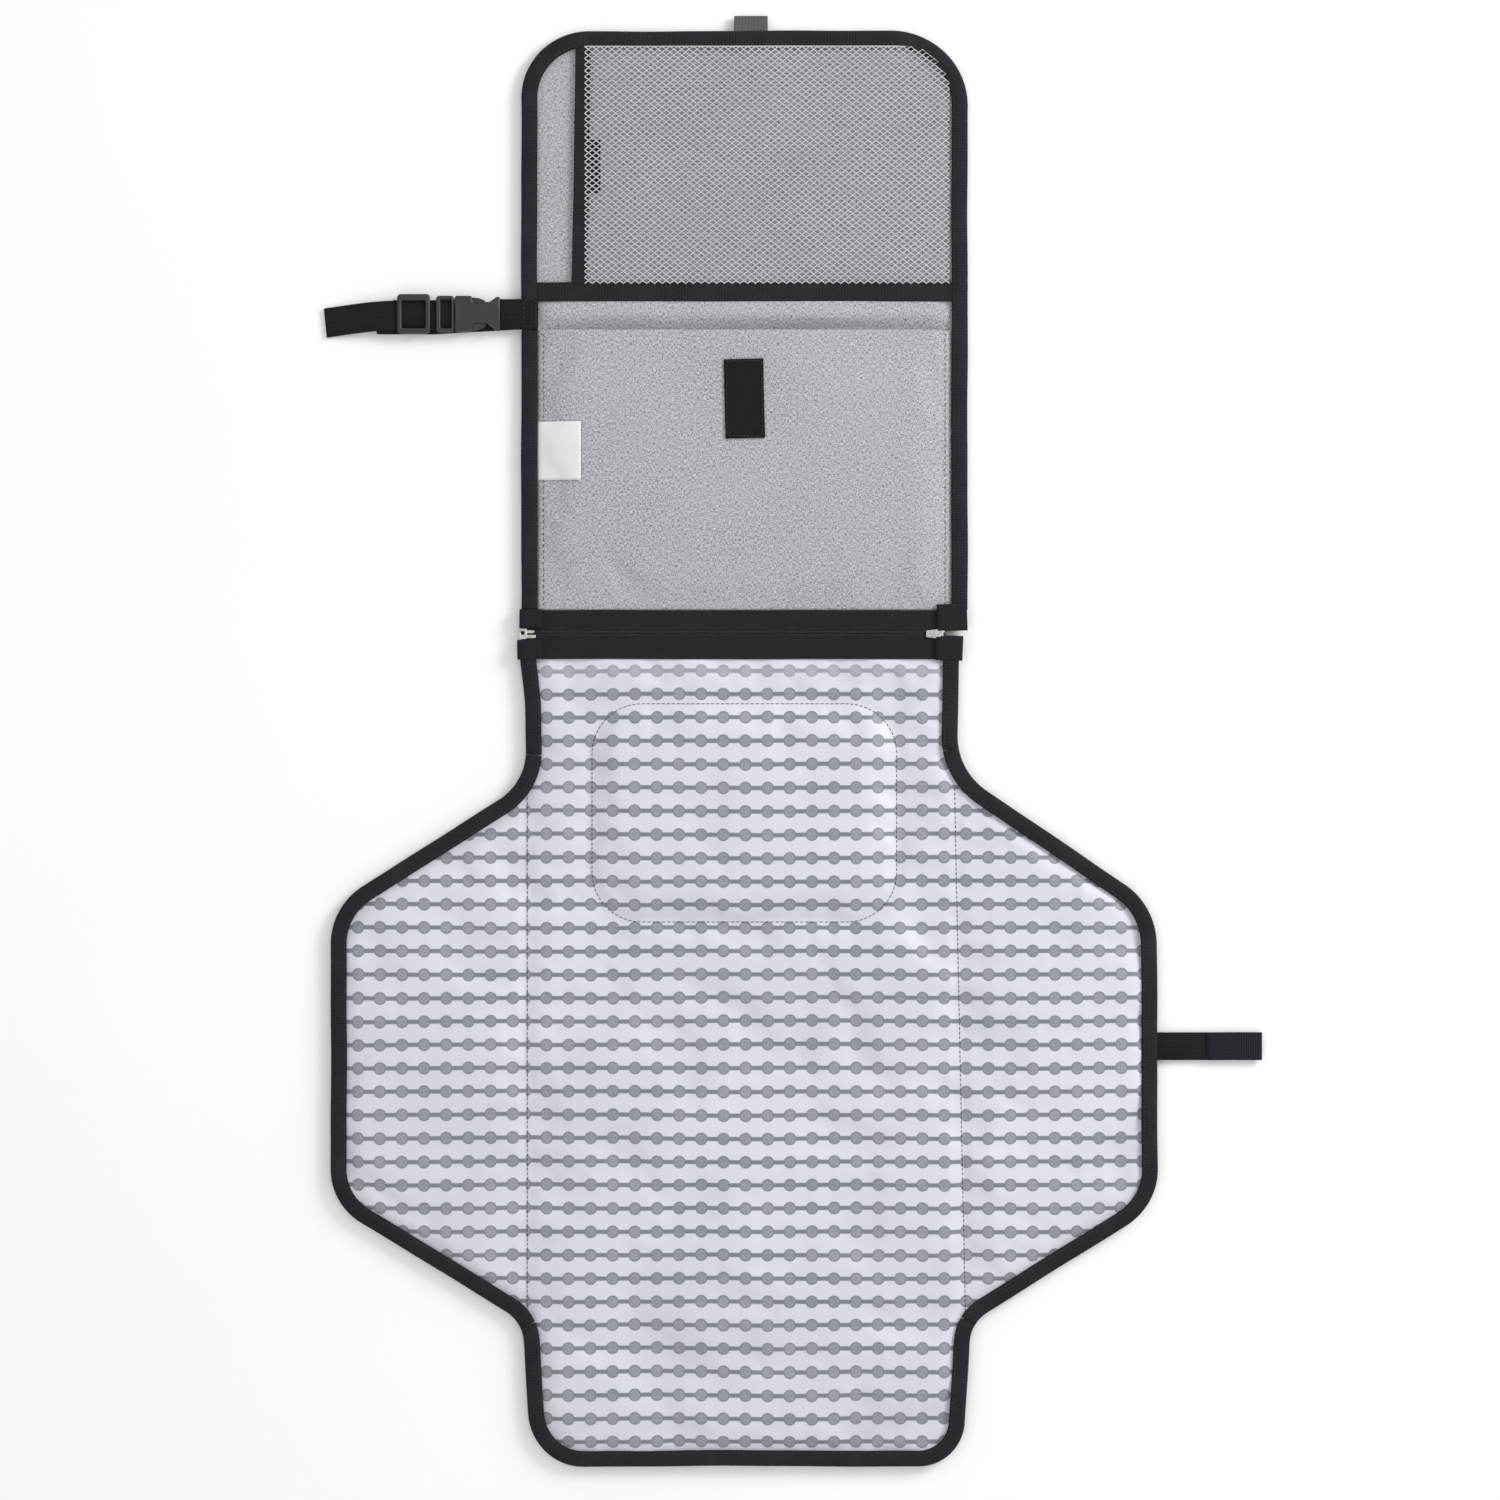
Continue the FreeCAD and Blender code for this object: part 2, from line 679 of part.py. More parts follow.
# female half: open to the left, a window on each side where the prongs snap out
buckle_y = f"{S}strap_y - {S}buckle_wide / 2"
below_buckle = f"{S}buckle_low_z - 1"
through_buckle = f"{S}buckle_thick + 2"
slot_y = f"{S}strap_y - {S}slot_wide / 2"
female_shell = box("female_shell", S + "female_left_x", buckle_y, S + "buckle_low_z",
                   S + "female_long", S + "buckle_wide", S + "buckle_thick")
female_mouth = box("female_mouth", f"{S}female_left_x - 1", f"{S}strap_y - {S}mouth_wide / 2",
                   f"{S}buckle_low_z + {S}mouth_wall", f"{S}mouth_deep + 1", S + "mouth_wide",
                   f"{S}buckle_thick - 2 * {S}mouth_wall")
female_windows = box("female_windows", f"{S}female_left_x + {S}window_offset_x",
                     f"{S}strap_y - {S}buckle_wide", f"{S}buckle_low_z + {S}window_wall",
                     S + "window_long", f"2 * {S}buckle_wide",
                     f"{S}buckle_thick - 2 * {S}window_wall")
female_window_core = box("female_window_core", f"{S}female_left_x + {S}window_offset_x - 1",
                         f"{S}strap_y - {S}window_core / 2", S + "buckle_low_z",
                         f"{S}window_long + 2", S + "window_core", S + "buckle_thick")
window_cut = doc.addObject("Part::Cut", "window_cut")
window_cut.Base = female_windows
window_cut.Tool = female_window_core
female_slot = box("female_slot", f"{S}female_left_x + {S}female_long - {S}female_slot_end",
                  slot_y, below_buckle, S + "female_slot_long", S + "slot_wide", through_buckle)
cut_node("buckle_female", female_shell, [female_mouth, window_cut, female_slot])

# male half: base with a webbing slot and a flat guide tongue between the prongs
male_base = box("male_base", S + "male_left_x", buckle_y, S + "buckle_low_z",
                S + "male_long", S + "buckle_wide", S + "buckle_thick")
male_slot = box("male_slot", f"{S}male_left_x + {S}male_slot_offset_x", slot_y, below_buckle,
                S + "male_slot_long", S + "slot_wide", through_buckle)
male_frame = doc.addObject("Part::Cut", "male_frame")
male_frame.Base = male_base
male_frame.Tool = male_slot
tongue_start = f"{S}male_left_x + {S}male_long - 0.1"
male_tongue = box("male_tongue", tongue_start, f"{S}strap_y - {S}tongue_wide / 2",
                  f"{S}buckle_low_z + {S}tongue_rise", f"{S}tongue_long + 0.5",
                  S + "tongue_wide", S + "tongue_thick")
fused("buckle_male", [male_frame, male_tongue])


def prong(name, side):
    """One springy arm with its snap shoulder, on the upper or lower side."""
    root_x = size("male_left_x") + size("male_long")
    middle = size("strap_y")
    outer = middle + side * size("prong_outer_y")
    shoulder = middle + side * size("shoulder_y")
    points = [
        (root_x, middle + side * size("prong_inner_y")),
        (root_x + size("prong_long"), middle + side * size("prong_tip_y")),
        (root_x + size("prong_long"), outer),
        (root_x + size("shoulder_end_x"), shoulder),
        (root_x + size("shoulder_start_x"), shoulder),
        (root_x + size("shoulder_start_x"), outer),
        (root_x, outer),
    ]
    if side < 0:
        points.reverse()
    return padded_body(name, points, f"{S}buckle_low_z + {S}prong_rise", S + "prong_thick")


prong("male_prong_head_side", 1)
prong("male_prong_foot_side", -1)

# tri-glide: a rim with a middle bar low down and two end bars above the webbing
glide_y = f"{S}strap_y - {S}glide_wide / 2"
bar_z = f"{S}glide_low_z + {S}glide_thick - {S}glide_bar_thick"
glide_pieces = [
    box("glide_rim_a", S + "glide_left_x", glide_y, S + "glide_low_z", S + "glide_long",
        S + "glide_side", S + "glide_thick"),
    box("glide_rim_b", S + "glide_left_x", f"{S}strap_y + {S}glide_wide / 2 - {S}glide_side",
        S + "glide_low_z", S + "glide_long", S + "glide_side", S + "glide_thick"),
    box("glide_bar_left", S + "glide_left_x", glide_y, bar_z, S + "glide_bar_long",
        S + "glide_wide", S + "glide_bar_thick"),
    box("glide_bar_right", f"{S}glide_left_x + {S}glide_long - {S}glide_bar_long", glide_y,
        bar_z, S + "glide_bar_long", S + "glide_wide", S + "glide_bar_thick"),
    box("glide_bar_middle", f"{S}glide_left_x + {S}glide_long / 2 - {S}glide_middle_long / 2",
        glide_y, S + "glide_low_z", S + "glide_middle_long", S + "glide_wide",
        S + "glide_middle_thick"),
]
fused("tri_glide", glide_pieces)

# ---------------------------------------------------------------- closure tab

tab_low = f"{S}tab_y - {S}tab_width / 2"
box_node("tab_webbing", f"{S}wing_reach + {S}tab_gap", tab_low, S + "tab_low_z",
         f"{S}tab_reach - {S}wing_reach - {S}tab_gap", S + "tab_width", S + "webbing_thick")
box_node("tab_hook_tape", S + "hook_tape_left_x", tab_low, f"{S}tab_low_z + {S}webbing_thick",
         f"{S}tab_reach - {S}hook_tape_left_x", S + "tab_width", S + "hook_tape_thick")

# ---------------------------------------------------------------- check and write

doc.recompute()
for item in doc.Objects:
    if "Invalid" in item.State or "Error" in item.State:
        raise RuntimeError(f"{item.Label} failed: {item.State}")
for piece in nodes:
    shape = piece.Shape
    if shape.isNull() or not shape.isValid():
        raise RuntimeError(f"{piece.Label} has no valid shape")
    shape.exportStep(f"parts/{piece.Label}.step")
    low, high = shape.BoundBox.ZMin, shape.BoundBox.ZMax
    print(f"{piece.Label:28s} {len(shape.Solids)} solid  {shape.Volume:10.1f} mm3  z {low:.2f}..{high:.2f}")
print(len(nodes), "sub-parts")
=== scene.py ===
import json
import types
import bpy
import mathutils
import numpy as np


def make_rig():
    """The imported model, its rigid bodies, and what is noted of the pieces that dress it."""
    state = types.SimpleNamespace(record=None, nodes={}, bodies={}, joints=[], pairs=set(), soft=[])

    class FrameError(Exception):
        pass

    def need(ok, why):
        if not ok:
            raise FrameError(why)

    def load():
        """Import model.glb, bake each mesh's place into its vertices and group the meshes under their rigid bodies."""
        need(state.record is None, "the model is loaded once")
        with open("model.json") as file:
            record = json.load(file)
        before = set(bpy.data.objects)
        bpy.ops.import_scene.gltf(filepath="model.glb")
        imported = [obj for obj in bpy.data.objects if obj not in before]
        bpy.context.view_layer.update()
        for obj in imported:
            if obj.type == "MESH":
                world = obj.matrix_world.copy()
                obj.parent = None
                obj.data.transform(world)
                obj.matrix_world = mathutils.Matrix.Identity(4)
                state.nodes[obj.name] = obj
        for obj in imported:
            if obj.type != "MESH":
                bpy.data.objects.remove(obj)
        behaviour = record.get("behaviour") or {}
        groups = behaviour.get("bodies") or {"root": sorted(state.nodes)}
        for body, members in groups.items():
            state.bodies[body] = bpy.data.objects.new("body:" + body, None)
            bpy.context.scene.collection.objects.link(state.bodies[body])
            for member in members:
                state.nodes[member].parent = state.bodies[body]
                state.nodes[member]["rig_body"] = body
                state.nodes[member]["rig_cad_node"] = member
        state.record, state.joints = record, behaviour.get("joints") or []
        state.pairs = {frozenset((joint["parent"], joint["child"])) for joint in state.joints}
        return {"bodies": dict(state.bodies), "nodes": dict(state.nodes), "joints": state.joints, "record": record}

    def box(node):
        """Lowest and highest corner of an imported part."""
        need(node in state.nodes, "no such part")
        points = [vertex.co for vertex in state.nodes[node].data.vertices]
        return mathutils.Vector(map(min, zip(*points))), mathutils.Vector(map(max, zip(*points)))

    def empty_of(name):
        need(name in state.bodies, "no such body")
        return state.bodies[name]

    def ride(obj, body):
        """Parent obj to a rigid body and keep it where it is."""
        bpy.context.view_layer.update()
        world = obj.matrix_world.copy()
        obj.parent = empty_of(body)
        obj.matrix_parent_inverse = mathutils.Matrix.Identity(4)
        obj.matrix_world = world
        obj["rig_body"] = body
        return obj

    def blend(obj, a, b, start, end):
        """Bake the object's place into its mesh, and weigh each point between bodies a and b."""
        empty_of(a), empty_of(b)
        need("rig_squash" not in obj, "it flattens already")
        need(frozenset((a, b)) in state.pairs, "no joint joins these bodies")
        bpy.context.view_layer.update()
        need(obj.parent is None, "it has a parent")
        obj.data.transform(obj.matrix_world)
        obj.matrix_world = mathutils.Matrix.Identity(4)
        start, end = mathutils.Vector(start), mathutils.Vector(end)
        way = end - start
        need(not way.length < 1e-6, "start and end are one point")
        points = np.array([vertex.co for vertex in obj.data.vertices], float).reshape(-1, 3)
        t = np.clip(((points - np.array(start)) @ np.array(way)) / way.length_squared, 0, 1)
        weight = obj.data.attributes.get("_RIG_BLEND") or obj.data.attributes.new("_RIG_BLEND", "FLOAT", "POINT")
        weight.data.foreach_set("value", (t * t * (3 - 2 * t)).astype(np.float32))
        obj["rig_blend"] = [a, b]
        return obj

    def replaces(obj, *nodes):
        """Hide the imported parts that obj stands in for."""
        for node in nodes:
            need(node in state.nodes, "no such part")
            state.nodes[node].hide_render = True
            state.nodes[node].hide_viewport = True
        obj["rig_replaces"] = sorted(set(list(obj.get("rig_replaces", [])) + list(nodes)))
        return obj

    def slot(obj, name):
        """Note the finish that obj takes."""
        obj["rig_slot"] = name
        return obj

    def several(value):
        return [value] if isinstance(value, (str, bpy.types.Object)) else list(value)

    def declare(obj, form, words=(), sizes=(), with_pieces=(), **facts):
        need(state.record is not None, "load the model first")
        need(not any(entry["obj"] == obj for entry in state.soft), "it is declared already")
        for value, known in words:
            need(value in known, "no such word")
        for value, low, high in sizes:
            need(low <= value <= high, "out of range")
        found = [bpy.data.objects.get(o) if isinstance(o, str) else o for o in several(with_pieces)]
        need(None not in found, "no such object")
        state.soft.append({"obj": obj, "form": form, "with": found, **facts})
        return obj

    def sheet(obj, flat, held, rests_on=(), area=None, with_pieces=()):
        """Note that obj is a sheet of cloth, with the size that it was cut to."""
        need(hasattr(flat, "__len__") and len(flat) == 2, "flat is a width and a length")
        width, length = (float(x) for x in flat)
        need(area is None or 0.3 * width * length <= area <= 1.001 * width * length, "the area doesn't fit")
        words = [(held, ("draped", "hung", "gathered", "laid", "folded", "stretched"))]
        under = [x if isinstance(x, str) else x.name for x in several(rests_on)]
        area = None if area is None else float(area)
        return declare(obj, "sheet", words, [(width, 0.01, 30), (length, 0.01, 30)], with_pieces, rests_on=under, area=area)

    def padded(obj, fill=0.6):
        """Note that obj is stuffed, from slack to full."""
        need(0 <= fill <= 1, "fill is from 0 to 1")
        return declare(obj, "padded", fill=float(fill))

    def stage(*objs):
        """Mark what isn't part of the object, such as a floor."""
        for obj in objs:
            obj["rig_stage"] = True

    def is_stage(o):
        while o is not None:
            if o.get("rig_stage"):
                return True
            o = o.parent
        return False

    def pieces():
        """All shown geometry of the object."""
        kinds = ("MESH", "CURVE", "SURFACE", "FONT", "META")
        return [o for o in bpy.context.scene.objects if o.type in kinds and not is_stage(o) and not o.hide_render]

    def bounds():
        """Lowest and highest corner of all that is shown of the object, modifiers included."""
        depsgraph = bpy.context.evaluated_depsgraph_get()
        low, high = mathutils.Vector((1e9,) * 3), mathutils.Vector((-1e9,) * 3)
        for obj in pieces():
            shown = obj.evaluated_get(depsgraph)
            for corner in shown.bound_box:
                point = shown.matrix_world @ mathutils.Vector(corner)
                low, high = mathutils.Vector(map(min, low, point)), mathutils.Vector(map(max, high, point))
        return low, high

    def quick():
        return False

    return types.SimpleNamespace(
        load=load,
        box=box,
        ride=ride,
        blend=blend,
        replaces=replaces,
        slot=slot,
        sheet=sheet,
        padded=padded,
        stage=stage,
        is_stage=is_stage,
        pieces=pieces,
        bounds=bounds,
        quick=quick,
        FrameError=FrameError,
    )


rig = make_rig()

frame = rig.load()

# %% [markdown]
# # A changing pad with a fold-over organizer
# The real object is mostly sewn cloth: a padded mat with two wings, edge tape folded round
# every rim, and a flat organizer zipped to its head end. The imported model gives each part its
# place and size. This script builds the cloth, tape, net, stitches and buckle that are seen.

# %% Tools and units
import json
import math
import random

import bpy
import numpy as np
from mathutils import Vector, kdtree, noise
from mathutils.bvhtree import BVHTree

MM = 0.001
random.seed(7)
cad_low, cad_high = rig.bounds()
print("model is", [round(v, 3) for v in cad_high - cad_low], "metres")

# %% [markdown]
# ## Finishes
# Every finish is a small node tree. A cloth is never one colour: its weave shows as bump and
# as flecks, and its sheen comes from loose fibres. The trees read the UV map, which holds
# real metres along and across each piece, so a weave has its real scale and stays on the
# cloth when a wing folds.


# %% Node helpers
class Finish:
    """A material and its node tree, with short calls for the nodes used here."""

    def __init__(self, name, **values):
        self.material = bpy.data.materials.new(name)
        self.material.use_nodes = True
        self.tree = self.material.node_tree
        self.shader = self.tree.nodes["Principled BSDF"]
        for socket, value in values.items():
            self.shader.inputs[socket.replace("_", " ")].default_value = value
        self.place = self.tree.nodes.new("ShaderNodeUVMap").outputs[0]

    def join(self, source, socket):
        if isinstance(source, bpy.types.NodeSocket):
            self.tree.links.new(source, socket)
        else:
            socket.default_value = source

    def sum(self, kind, a, b=0.0, c=0.0):
        node = self.tree.nodes.new("ShaderNodeMath")
        node.operation = kind
        for value, socket in zip((a, b, c), node.inputs):
            self.join(value, socket)
        return node.outputs[0]

    def axes(self, source=None):
        node = self.tree.nodes.new("ShaderNodeSeparateXYZ")
        self.join(self.place if source is None else source, node.inputs[0])
        return node.outputs[0], node.outputs[1]

    def vector(self, x, y, z=0.0):
        node = self.tree.nodes.new("ShaderNodeCombineXYZ")
        for value, socket in zip((x, y, z), node.inputs):
            self.join(value, socket)
        return node.outputs[0]

    def noise(self, scale, stretch=(1, 1), detail=2.0, rough=0.5):
        """Soft noise. Scale is cells per metre, and stretch makes the cells longer or shorter."""
        x, y = self.axes()
        spot = self.vector(self.sum("MULTIPLY", x, stretch[0]), self.sum("MULTIPLY", y, stretch[1]))
        node = self.tree.nodes.new("ShaderNodeTexNoise")
        self.join(spot, node.inputs["Vector"])
        node.inputs["Scale"].default_value = scale
        node.inputs["Detail"].default_value = detail
        node.inputs["Roughness"].default_value = rough
        return node.outputs[0]

    def wave(self, value, pitch):
        """A smooth up and down from 0 to 1, once in each pitch."""
        turn = self.sum("MULTIPLY", value, 2 * math.pi / pitch)
        return self.sum("MULTIPLY_ADD", self.sum("SINE", turn), 0.5, 0.5)

    def spread(self, value, low, high, to_low=0.0, to_high=1.0):
        node = self.tree.nodes.new("ShaderNodeMapRange")
        for given, socket in zip((value, low, high, to_low, to_high), node.inputs):
            self.join(given, socket)
        return node.outputs[0]

    def mix(self, share, a, b):
        node = self.tree.nodes.new("ShaderNodeMix")
        node.data_type = "RGBA"
        self.join(share, node.inputs["Factor"])
        self.join(a, node.inputs["A"])
        self.join(b, node.inputs["B"])
        return node.outputs["Result"]

    def bump(self, height, distance, strength=1.0):
        node = self.tree.nodes.new("ShaderNodeBump")
        node.inputs["Strength"].default_value = strength
        node.inputs["Distance"].default_value = distance
        self.join(height, node.inputs["Height"])
        self.join(node.outputs[0], self.shader.inputs["Normal"])

    def colour(self, source):
        self.join(source, self.shader.inputs["Base Color"])

    def rough(self, source):
        self.join(source, self.shader.inputs["Roughness"])


def grey(value, blue=0.0):
    """A near neutral colour, a touch cooler with more blue."""
    return (value * (1 - blue * 0.5), value * (1 - blue * 0.3), value * (1 + blue), 1.0)


# %% [markdown]
# The mat's cloth is a pale coated weave with rows of grey dots on a bar. A printed row is easy
# to write as arithmetic: fold the cloth into one cell per dot, measure the distance to the
# cell's middle, and compare it with the dot's radius. Ink takes unevenly, so soft noise
# fades some stretches, and each dot is darker at its rim.

# %% Printed cloth
ROW_PITCH, DOT_PITCH = 15.94 * MM, 15.07 * MM
DOT_RADIUS, BAR_HALF = 4.35 * MM, 1.5 * MM
# Y span past which the first printed row, nearest the zip, keeps three quarters of its ink: a painted highlight of
# glare.
GLARE_ROW_SPAN = (262 * MM, 254 * MM)
FIRST_ROW, FIRST_DOT = 267.4 * MM, -134.95 * MM


def printed_cloth():
    made = Finish("printed_cloth", Roughness=0.42, Sheen_Weight=0.25, Coat_Weight=0.12,
                  Coat_Roughness=0.35)
    x, y = made.axes()
    sway = made.sum("MULTIPLY_ADD", made.noise(9, detail=1), 2.6 * MM, -1.3 * MM)
    y = made.sum("ADD", y, sway)
    column = made.sum("DIVIDE", made.sum("SUBTRACT", x, FIRST_DOT), DOT_PITCH)
    row = made.sum("DIVIDE", made.sum("SUBTRACT", y, FIRST_ROW), ROW_PITCH)
    off_x = made.sum("MULTIPLY", made.sum("SUBTRACT", column, made.sum("ROUND", column)), DOT_PITCH)
    off_y = made.sum("MULTIPLY", made.sum("SUBTRACT", row, made.sum("ROUND", row)), ROW_PITCH)
    away = made.sum("SQRT", made.sum("ADD", made.sum("MULTIPLY", off_x, off_x),
                                     made.sum("MULTIPLY", off_y, off_y)))
    edge = 0.35 * MM
    dot = made.spread(away, DOT_RADIUS + edge, DOT_RADIUS - edge)
    bar = made.spread(made.sum("ABSOLUTE", off_y), BAR_HALF + edge, BAR_HALF - edge)
    # Painted glare: the first row by the zip is paler, with only three quarters of its ink.
    glare_fade = made.spread(y, *GLARE_ROW_SPAN, 0.75, 1.0)
    ink = made.sum("MULTIPLY", made.sum("MAXIMUM", dot, bar), glare_fade)
    rim = made.spread(away, DOT_RADIUS - 1.3 * MM, DOT_RADIUS - 0.5 * MM)
    rim = made.sum("MULTIPLY", rim, made.spread(away, DOT_RADIUS + edge, DOT_RADIUS))
    fibre = made.noise(1400, (1.0, 0.45), 3)
    fade = made.spread(made.noise(14, (1, 1.4), 3), 0.3, 0.72)
    cloud = made.spread(made.noise(7, (1, 1), 3), 0.32, 0.68)
    ground = made.mix(cloud, (0.62, 0.635, 0.705, 1), (0.695, 0.71, 0.765, 1))
    ground = made.mix(made.spread(fibre, 0.3, 0.7, 0.0, 0.16), ground, (0.42, 0.44, 0.52, 1))
    body = made.mix(fade, (0.185, 0.200, 0.240, 1), (0.300, 0.308, 0.340, 1))
    body = made.mix(made.spread(fibre, 0.4, 0.62, 0.0, 0.5), body, (0.36, 0.37, 0.40, 1))
    strong = made.sum("MULTIPLY", made.sum("MAXIMUM", rim, made.sum("SUBTRACT", bar, dot)), 0.75)
    body = made.mix(strong, body, (0.150, 0.162, 0.195, 1))
    made.colour(made.mix(ink, ground, body))
    made.rough(made.spread(made.noise(30, detail=2), 0.3, 0.7, 0.34, 0.52))
    weave = made.sum("ADD", made.wave(x, 0.55 * MM), made.wave(y, 0.55 * MM))
    made.bump(made.sum("ADD", weave, fibre), 0.05 * MM, 0.5)
    return made.material


# %% [markdown]
# Heather cloth is spun from light and dark fibres, so a near look shows short flecks along
# both thread directions and a far look shows plain grey. Two stretched noises, one per thread
# direction, give the flecks, and a slow noise keeps a large panel from looking flat.


# %% Heather cloth
def heather_cloth(name, light=(0.60, 0.59, 0.63, 1), dark=(0.075, 0.072, 0.088, 1)):
    made = Finish(name, Roughness=0.85, Sheen_Weight=0.15)
    x, y = made.axes()
    across = made.noise(1150, (0.4, 1.7), 3, 0.6)
    along = made.noise(1150, (1.8, 0.45), 3, 0.6)
    fleck = made.spread(made.sum("MULTIPLY", made.sum("ADD", across, along), 0.5), 0.38, 0.58)
    tone = made.mix(fleck, dark, light)
    slow = made.spread(made.noise(12, detail=2), 0.3, 0.7, 0.0, 0.16)
    made.colour(made.mix(slow, tone, (0.54, 0.53, 0.57, 1)))
    threads = made.sum("ADD", made.wave(x, 0.62 * MM), made.wave(y, 0.62 * MM))
    made.bump(made.sum("ADD", threads, fleck), 0.09 * MM, 0.7)
    return made.material


# %% [markdown]
# Edge tape, webbing and zip tape are one family: narrow black weaves. Edge tape has ribs
# straight across it, webbing has ribs broken into columns, and zip tape is fine and smooth.
# Black cloth in soft light is really dark grey, and the lighter grey on the crest of each rib is a painted highlight.


# %% Ribbed tape and webbing
def ribbed(name, rib, column=0.0, dark=0.004, light=0.030, depth=0.22, blue=0.22):
    made = Finish(name, Roughness=0.85, Specular_IOR_Level=0.25)
    x, y = made.axes()
    ribs = made.wave(x, rib)
    if column:
        shifted = made.sum("ADD", x, made.sum("MULTIPLY", made.wave(y, column), rib * 0.5))
        ribs = made.sum("MULTIPLY", made.wave(shifted, rib),
                        made.sum("MULTIPLY_ADD", made.wave(y, column), 0.35, 0.65))
    fuzz = made.noise(1100, (0.6, 1.0), 3)
    # Painted highlight: the colour turns lighter on the crest of each rib.
    crest_highlight = made.sum("MULTIPLY", ribs, made.spread(fuzz, 0.3, 0.7, 0.5, 1.0))
    worn = made.spread(made.noise(45, detail=3), 0.45, 0.75, 0.0, 0.25)
    tone = made.mix(crest_highlight, grey(dark, blue), grey(light, blue))
    made.colour(made.mix(worn, tone, grey(light * 1.3, blue * 0.5)))
    made.bump(made.sum("ADD", ribs, made.sum("MULTIPLY", fuzz, 0.3)), depth * MM, 0.8)
    return made.material


def fuzzy(name, pitch, dark=0.008, light=0.03):
    """Hook or loop tape: a field of tiny loops in rows."""
    made = Finish(name, Roughness=0.95, Specular_IOR_Level=0.2, Sheen_Weight=0.05)
    x, y = made.axes()
    rows = made.sum("MULTIPLY", made.wave(x, pitch), made.wave(y, pitch * 0.8))
    curls = made.noise(1500, detail=4, rough=0.7)
    made.colour(made.mix(made.sum("MULTIPLY", curls, rows), grey(dark, 0.3), grey(light * 2, 0.3)))
    made.bump(made.sum("ADD", rows, curls), 0.35 * MM, 0.9)
    return made.material


def moulded(name, tone, roughness):
    """Moulded plastic with a fine spark texture."""
    made = Finish(name, Roughness=roughness, Specular_IOR_Level=0.5)
    grain = made.noise(1800, detail=3)
    made.colour(made.mix(made.noise(60), grey(tone * 0.85, 0.1), grey(tone * 1.2, 0.1)))
    made.rough(made.spread(grain, 0.3, 0.7, roughness - 0.06, roughness + 0.08))
    made.bump(grain, 0.03 * MM, 0.5)
    return made.material


def plated_metal(name):
    made = Finish(name, Metallic=1.0, Roughness=0.3)
    rubbed = made.noise(250, (3, 1), 3)
    made.colour(made.mix(rubbed, (0.30, 0.29, 0.27, 1), (0.92, 0.91, 0.88, 1)))
    made.rough(made.spread(rubbed, 0.3, 0.7, 0.18, 0.42))
    made.bump(made.noise(900, detail=2), 0.03 * MM, 0.4)
    return made.material


def plain_weave(name, tone, blue=0.0, pitch=0.5, roughness=0.8, depth=0.06):
    made = Finish(name, Roughness=roughness, Sheen_Weight=0.2)
    x, y = made.axes()
    weave = made.sum("MULTIPLY", made.wave(x, pitch * MM), made.wave(y, pitch * MM))
    cloud = made.noise(20, detail=3)
    made.colour(made.mix(made.sum("MULTIPLY", made.sum("ADD", weave, cloud), 0.5),
                         grey(tone * 0.72, blue), grey(min(tone * 1.15, 0.95), blue)))
    made.bump(weave, depth * MM, 0.7)
    return made.material


PRINT = printed_cloth()
HEATHER = heather_cloth("heather_cloth")
BINDING = ribbed("edge_tape", 1.05 * MM)
WEBBING = ribbed("strap_webbing", 1.3 * MM, 3.3 * MM, 0.002, 0.019, 0.3)
ZIP_TAPE = ribbed("zip_tape_weave", 0.8 * MM, 1.1 * MM, 0.007, 0.020, 0.08)
LOOP_TAPE = fuzzy("loop_tape", 0.9 * MM, 0.005, 0.022)
HOOK_TAPE = fuzzy("hook_tape", 1.6 * MM, 0.008, 0.036)
PLASTIC = moulded("buckle_plastic", 0.024, 0.42)
NYLON = moulded("coil_nylon", 0.010, 0.4)
METAL = plated_metal("plated_metal")
LABEL = plain_weave("label_satin", 0.88, 0.0, 0.35, 0.5)
BACKING = plain_weave("backing_cloth", 0.40, 0.1, 0.6)
LOOP_GREY = ribbed("grey_tape", 1.0 * MM, 0, 0.06, 0.15, 0.15, 0.05)
NET_THREAD = plain_weave("net_thread", 0.62, 0.05, 0.3, 0.45, 0.02)
THREAD = plain_weave("sewing_thread", 0.045, 0.35, 0.3, 0.6, 0.02)
BLACK_THREAD = plain_weave("black_thread", 0.012, 0.2, 0.3, 0.9, 0.02)
print(len(bpy.data.materials), "finishes")

# %% [markdown]
# ## Mesh helpers
# Sewn goods come down to a few shapes: a sheet over a grid, a tape swept along an edge, a
# flat plate with holes, and rows of stitches. Each helper makes one of them from a few sizes,
# and gives it a UV map in metres.


# %% Pieces from points and faces
def piece(name, points, faces, material, places=None):
    """A mesh object. Places are UV metres per point, and the default is its X and Y."""
    mesh = bpy.data.meshes.new(name)
    mesh.from_pydata([tuple(p) for p in points], [], faces)
    mesh.materials.append(material)
    layer = mesh.uv_layers.new(name="UVMap")
    flat = np.array(places if places is not None else [(p[0], p[1]) for p in points], float)
    corners = np.zeros(len(mesh.loops), int)
    mesh.loops.foreach_get("vertex_index", corners)
    layer.data.foreach_set("uv", flat[corners].astype(np.float32).ravel())
    mesh.polygons.foreach_set("use_smooth", [True] * len(mesh.polygons))
    mesh.update()
    made = bpy.data.objects.new(name, mesh)
    bpy.context.scene.collection.objects.link(made)
    return made


def baked(obj):
    """Applies the modifiers of a piece, and keeps its place and name."""
    graph = bpy.context.evaluated_depsgraph_get()
    fresh = bpy.data.meshes.new_from_object(obj.evaluated_get(graph))
    obj.modifiers.clear()
    obj.data = fresh
    return obj


def fitted(obj, body, stands_for=(), slot=None):
    """Rides a piece on its body, and says which model nodes and which finish it stands for."""
    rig.ride(obj, body)
    if stands_for:
        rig.replaces(obj, *stands_for)
    if slot:
        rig.slot(obj, slot)


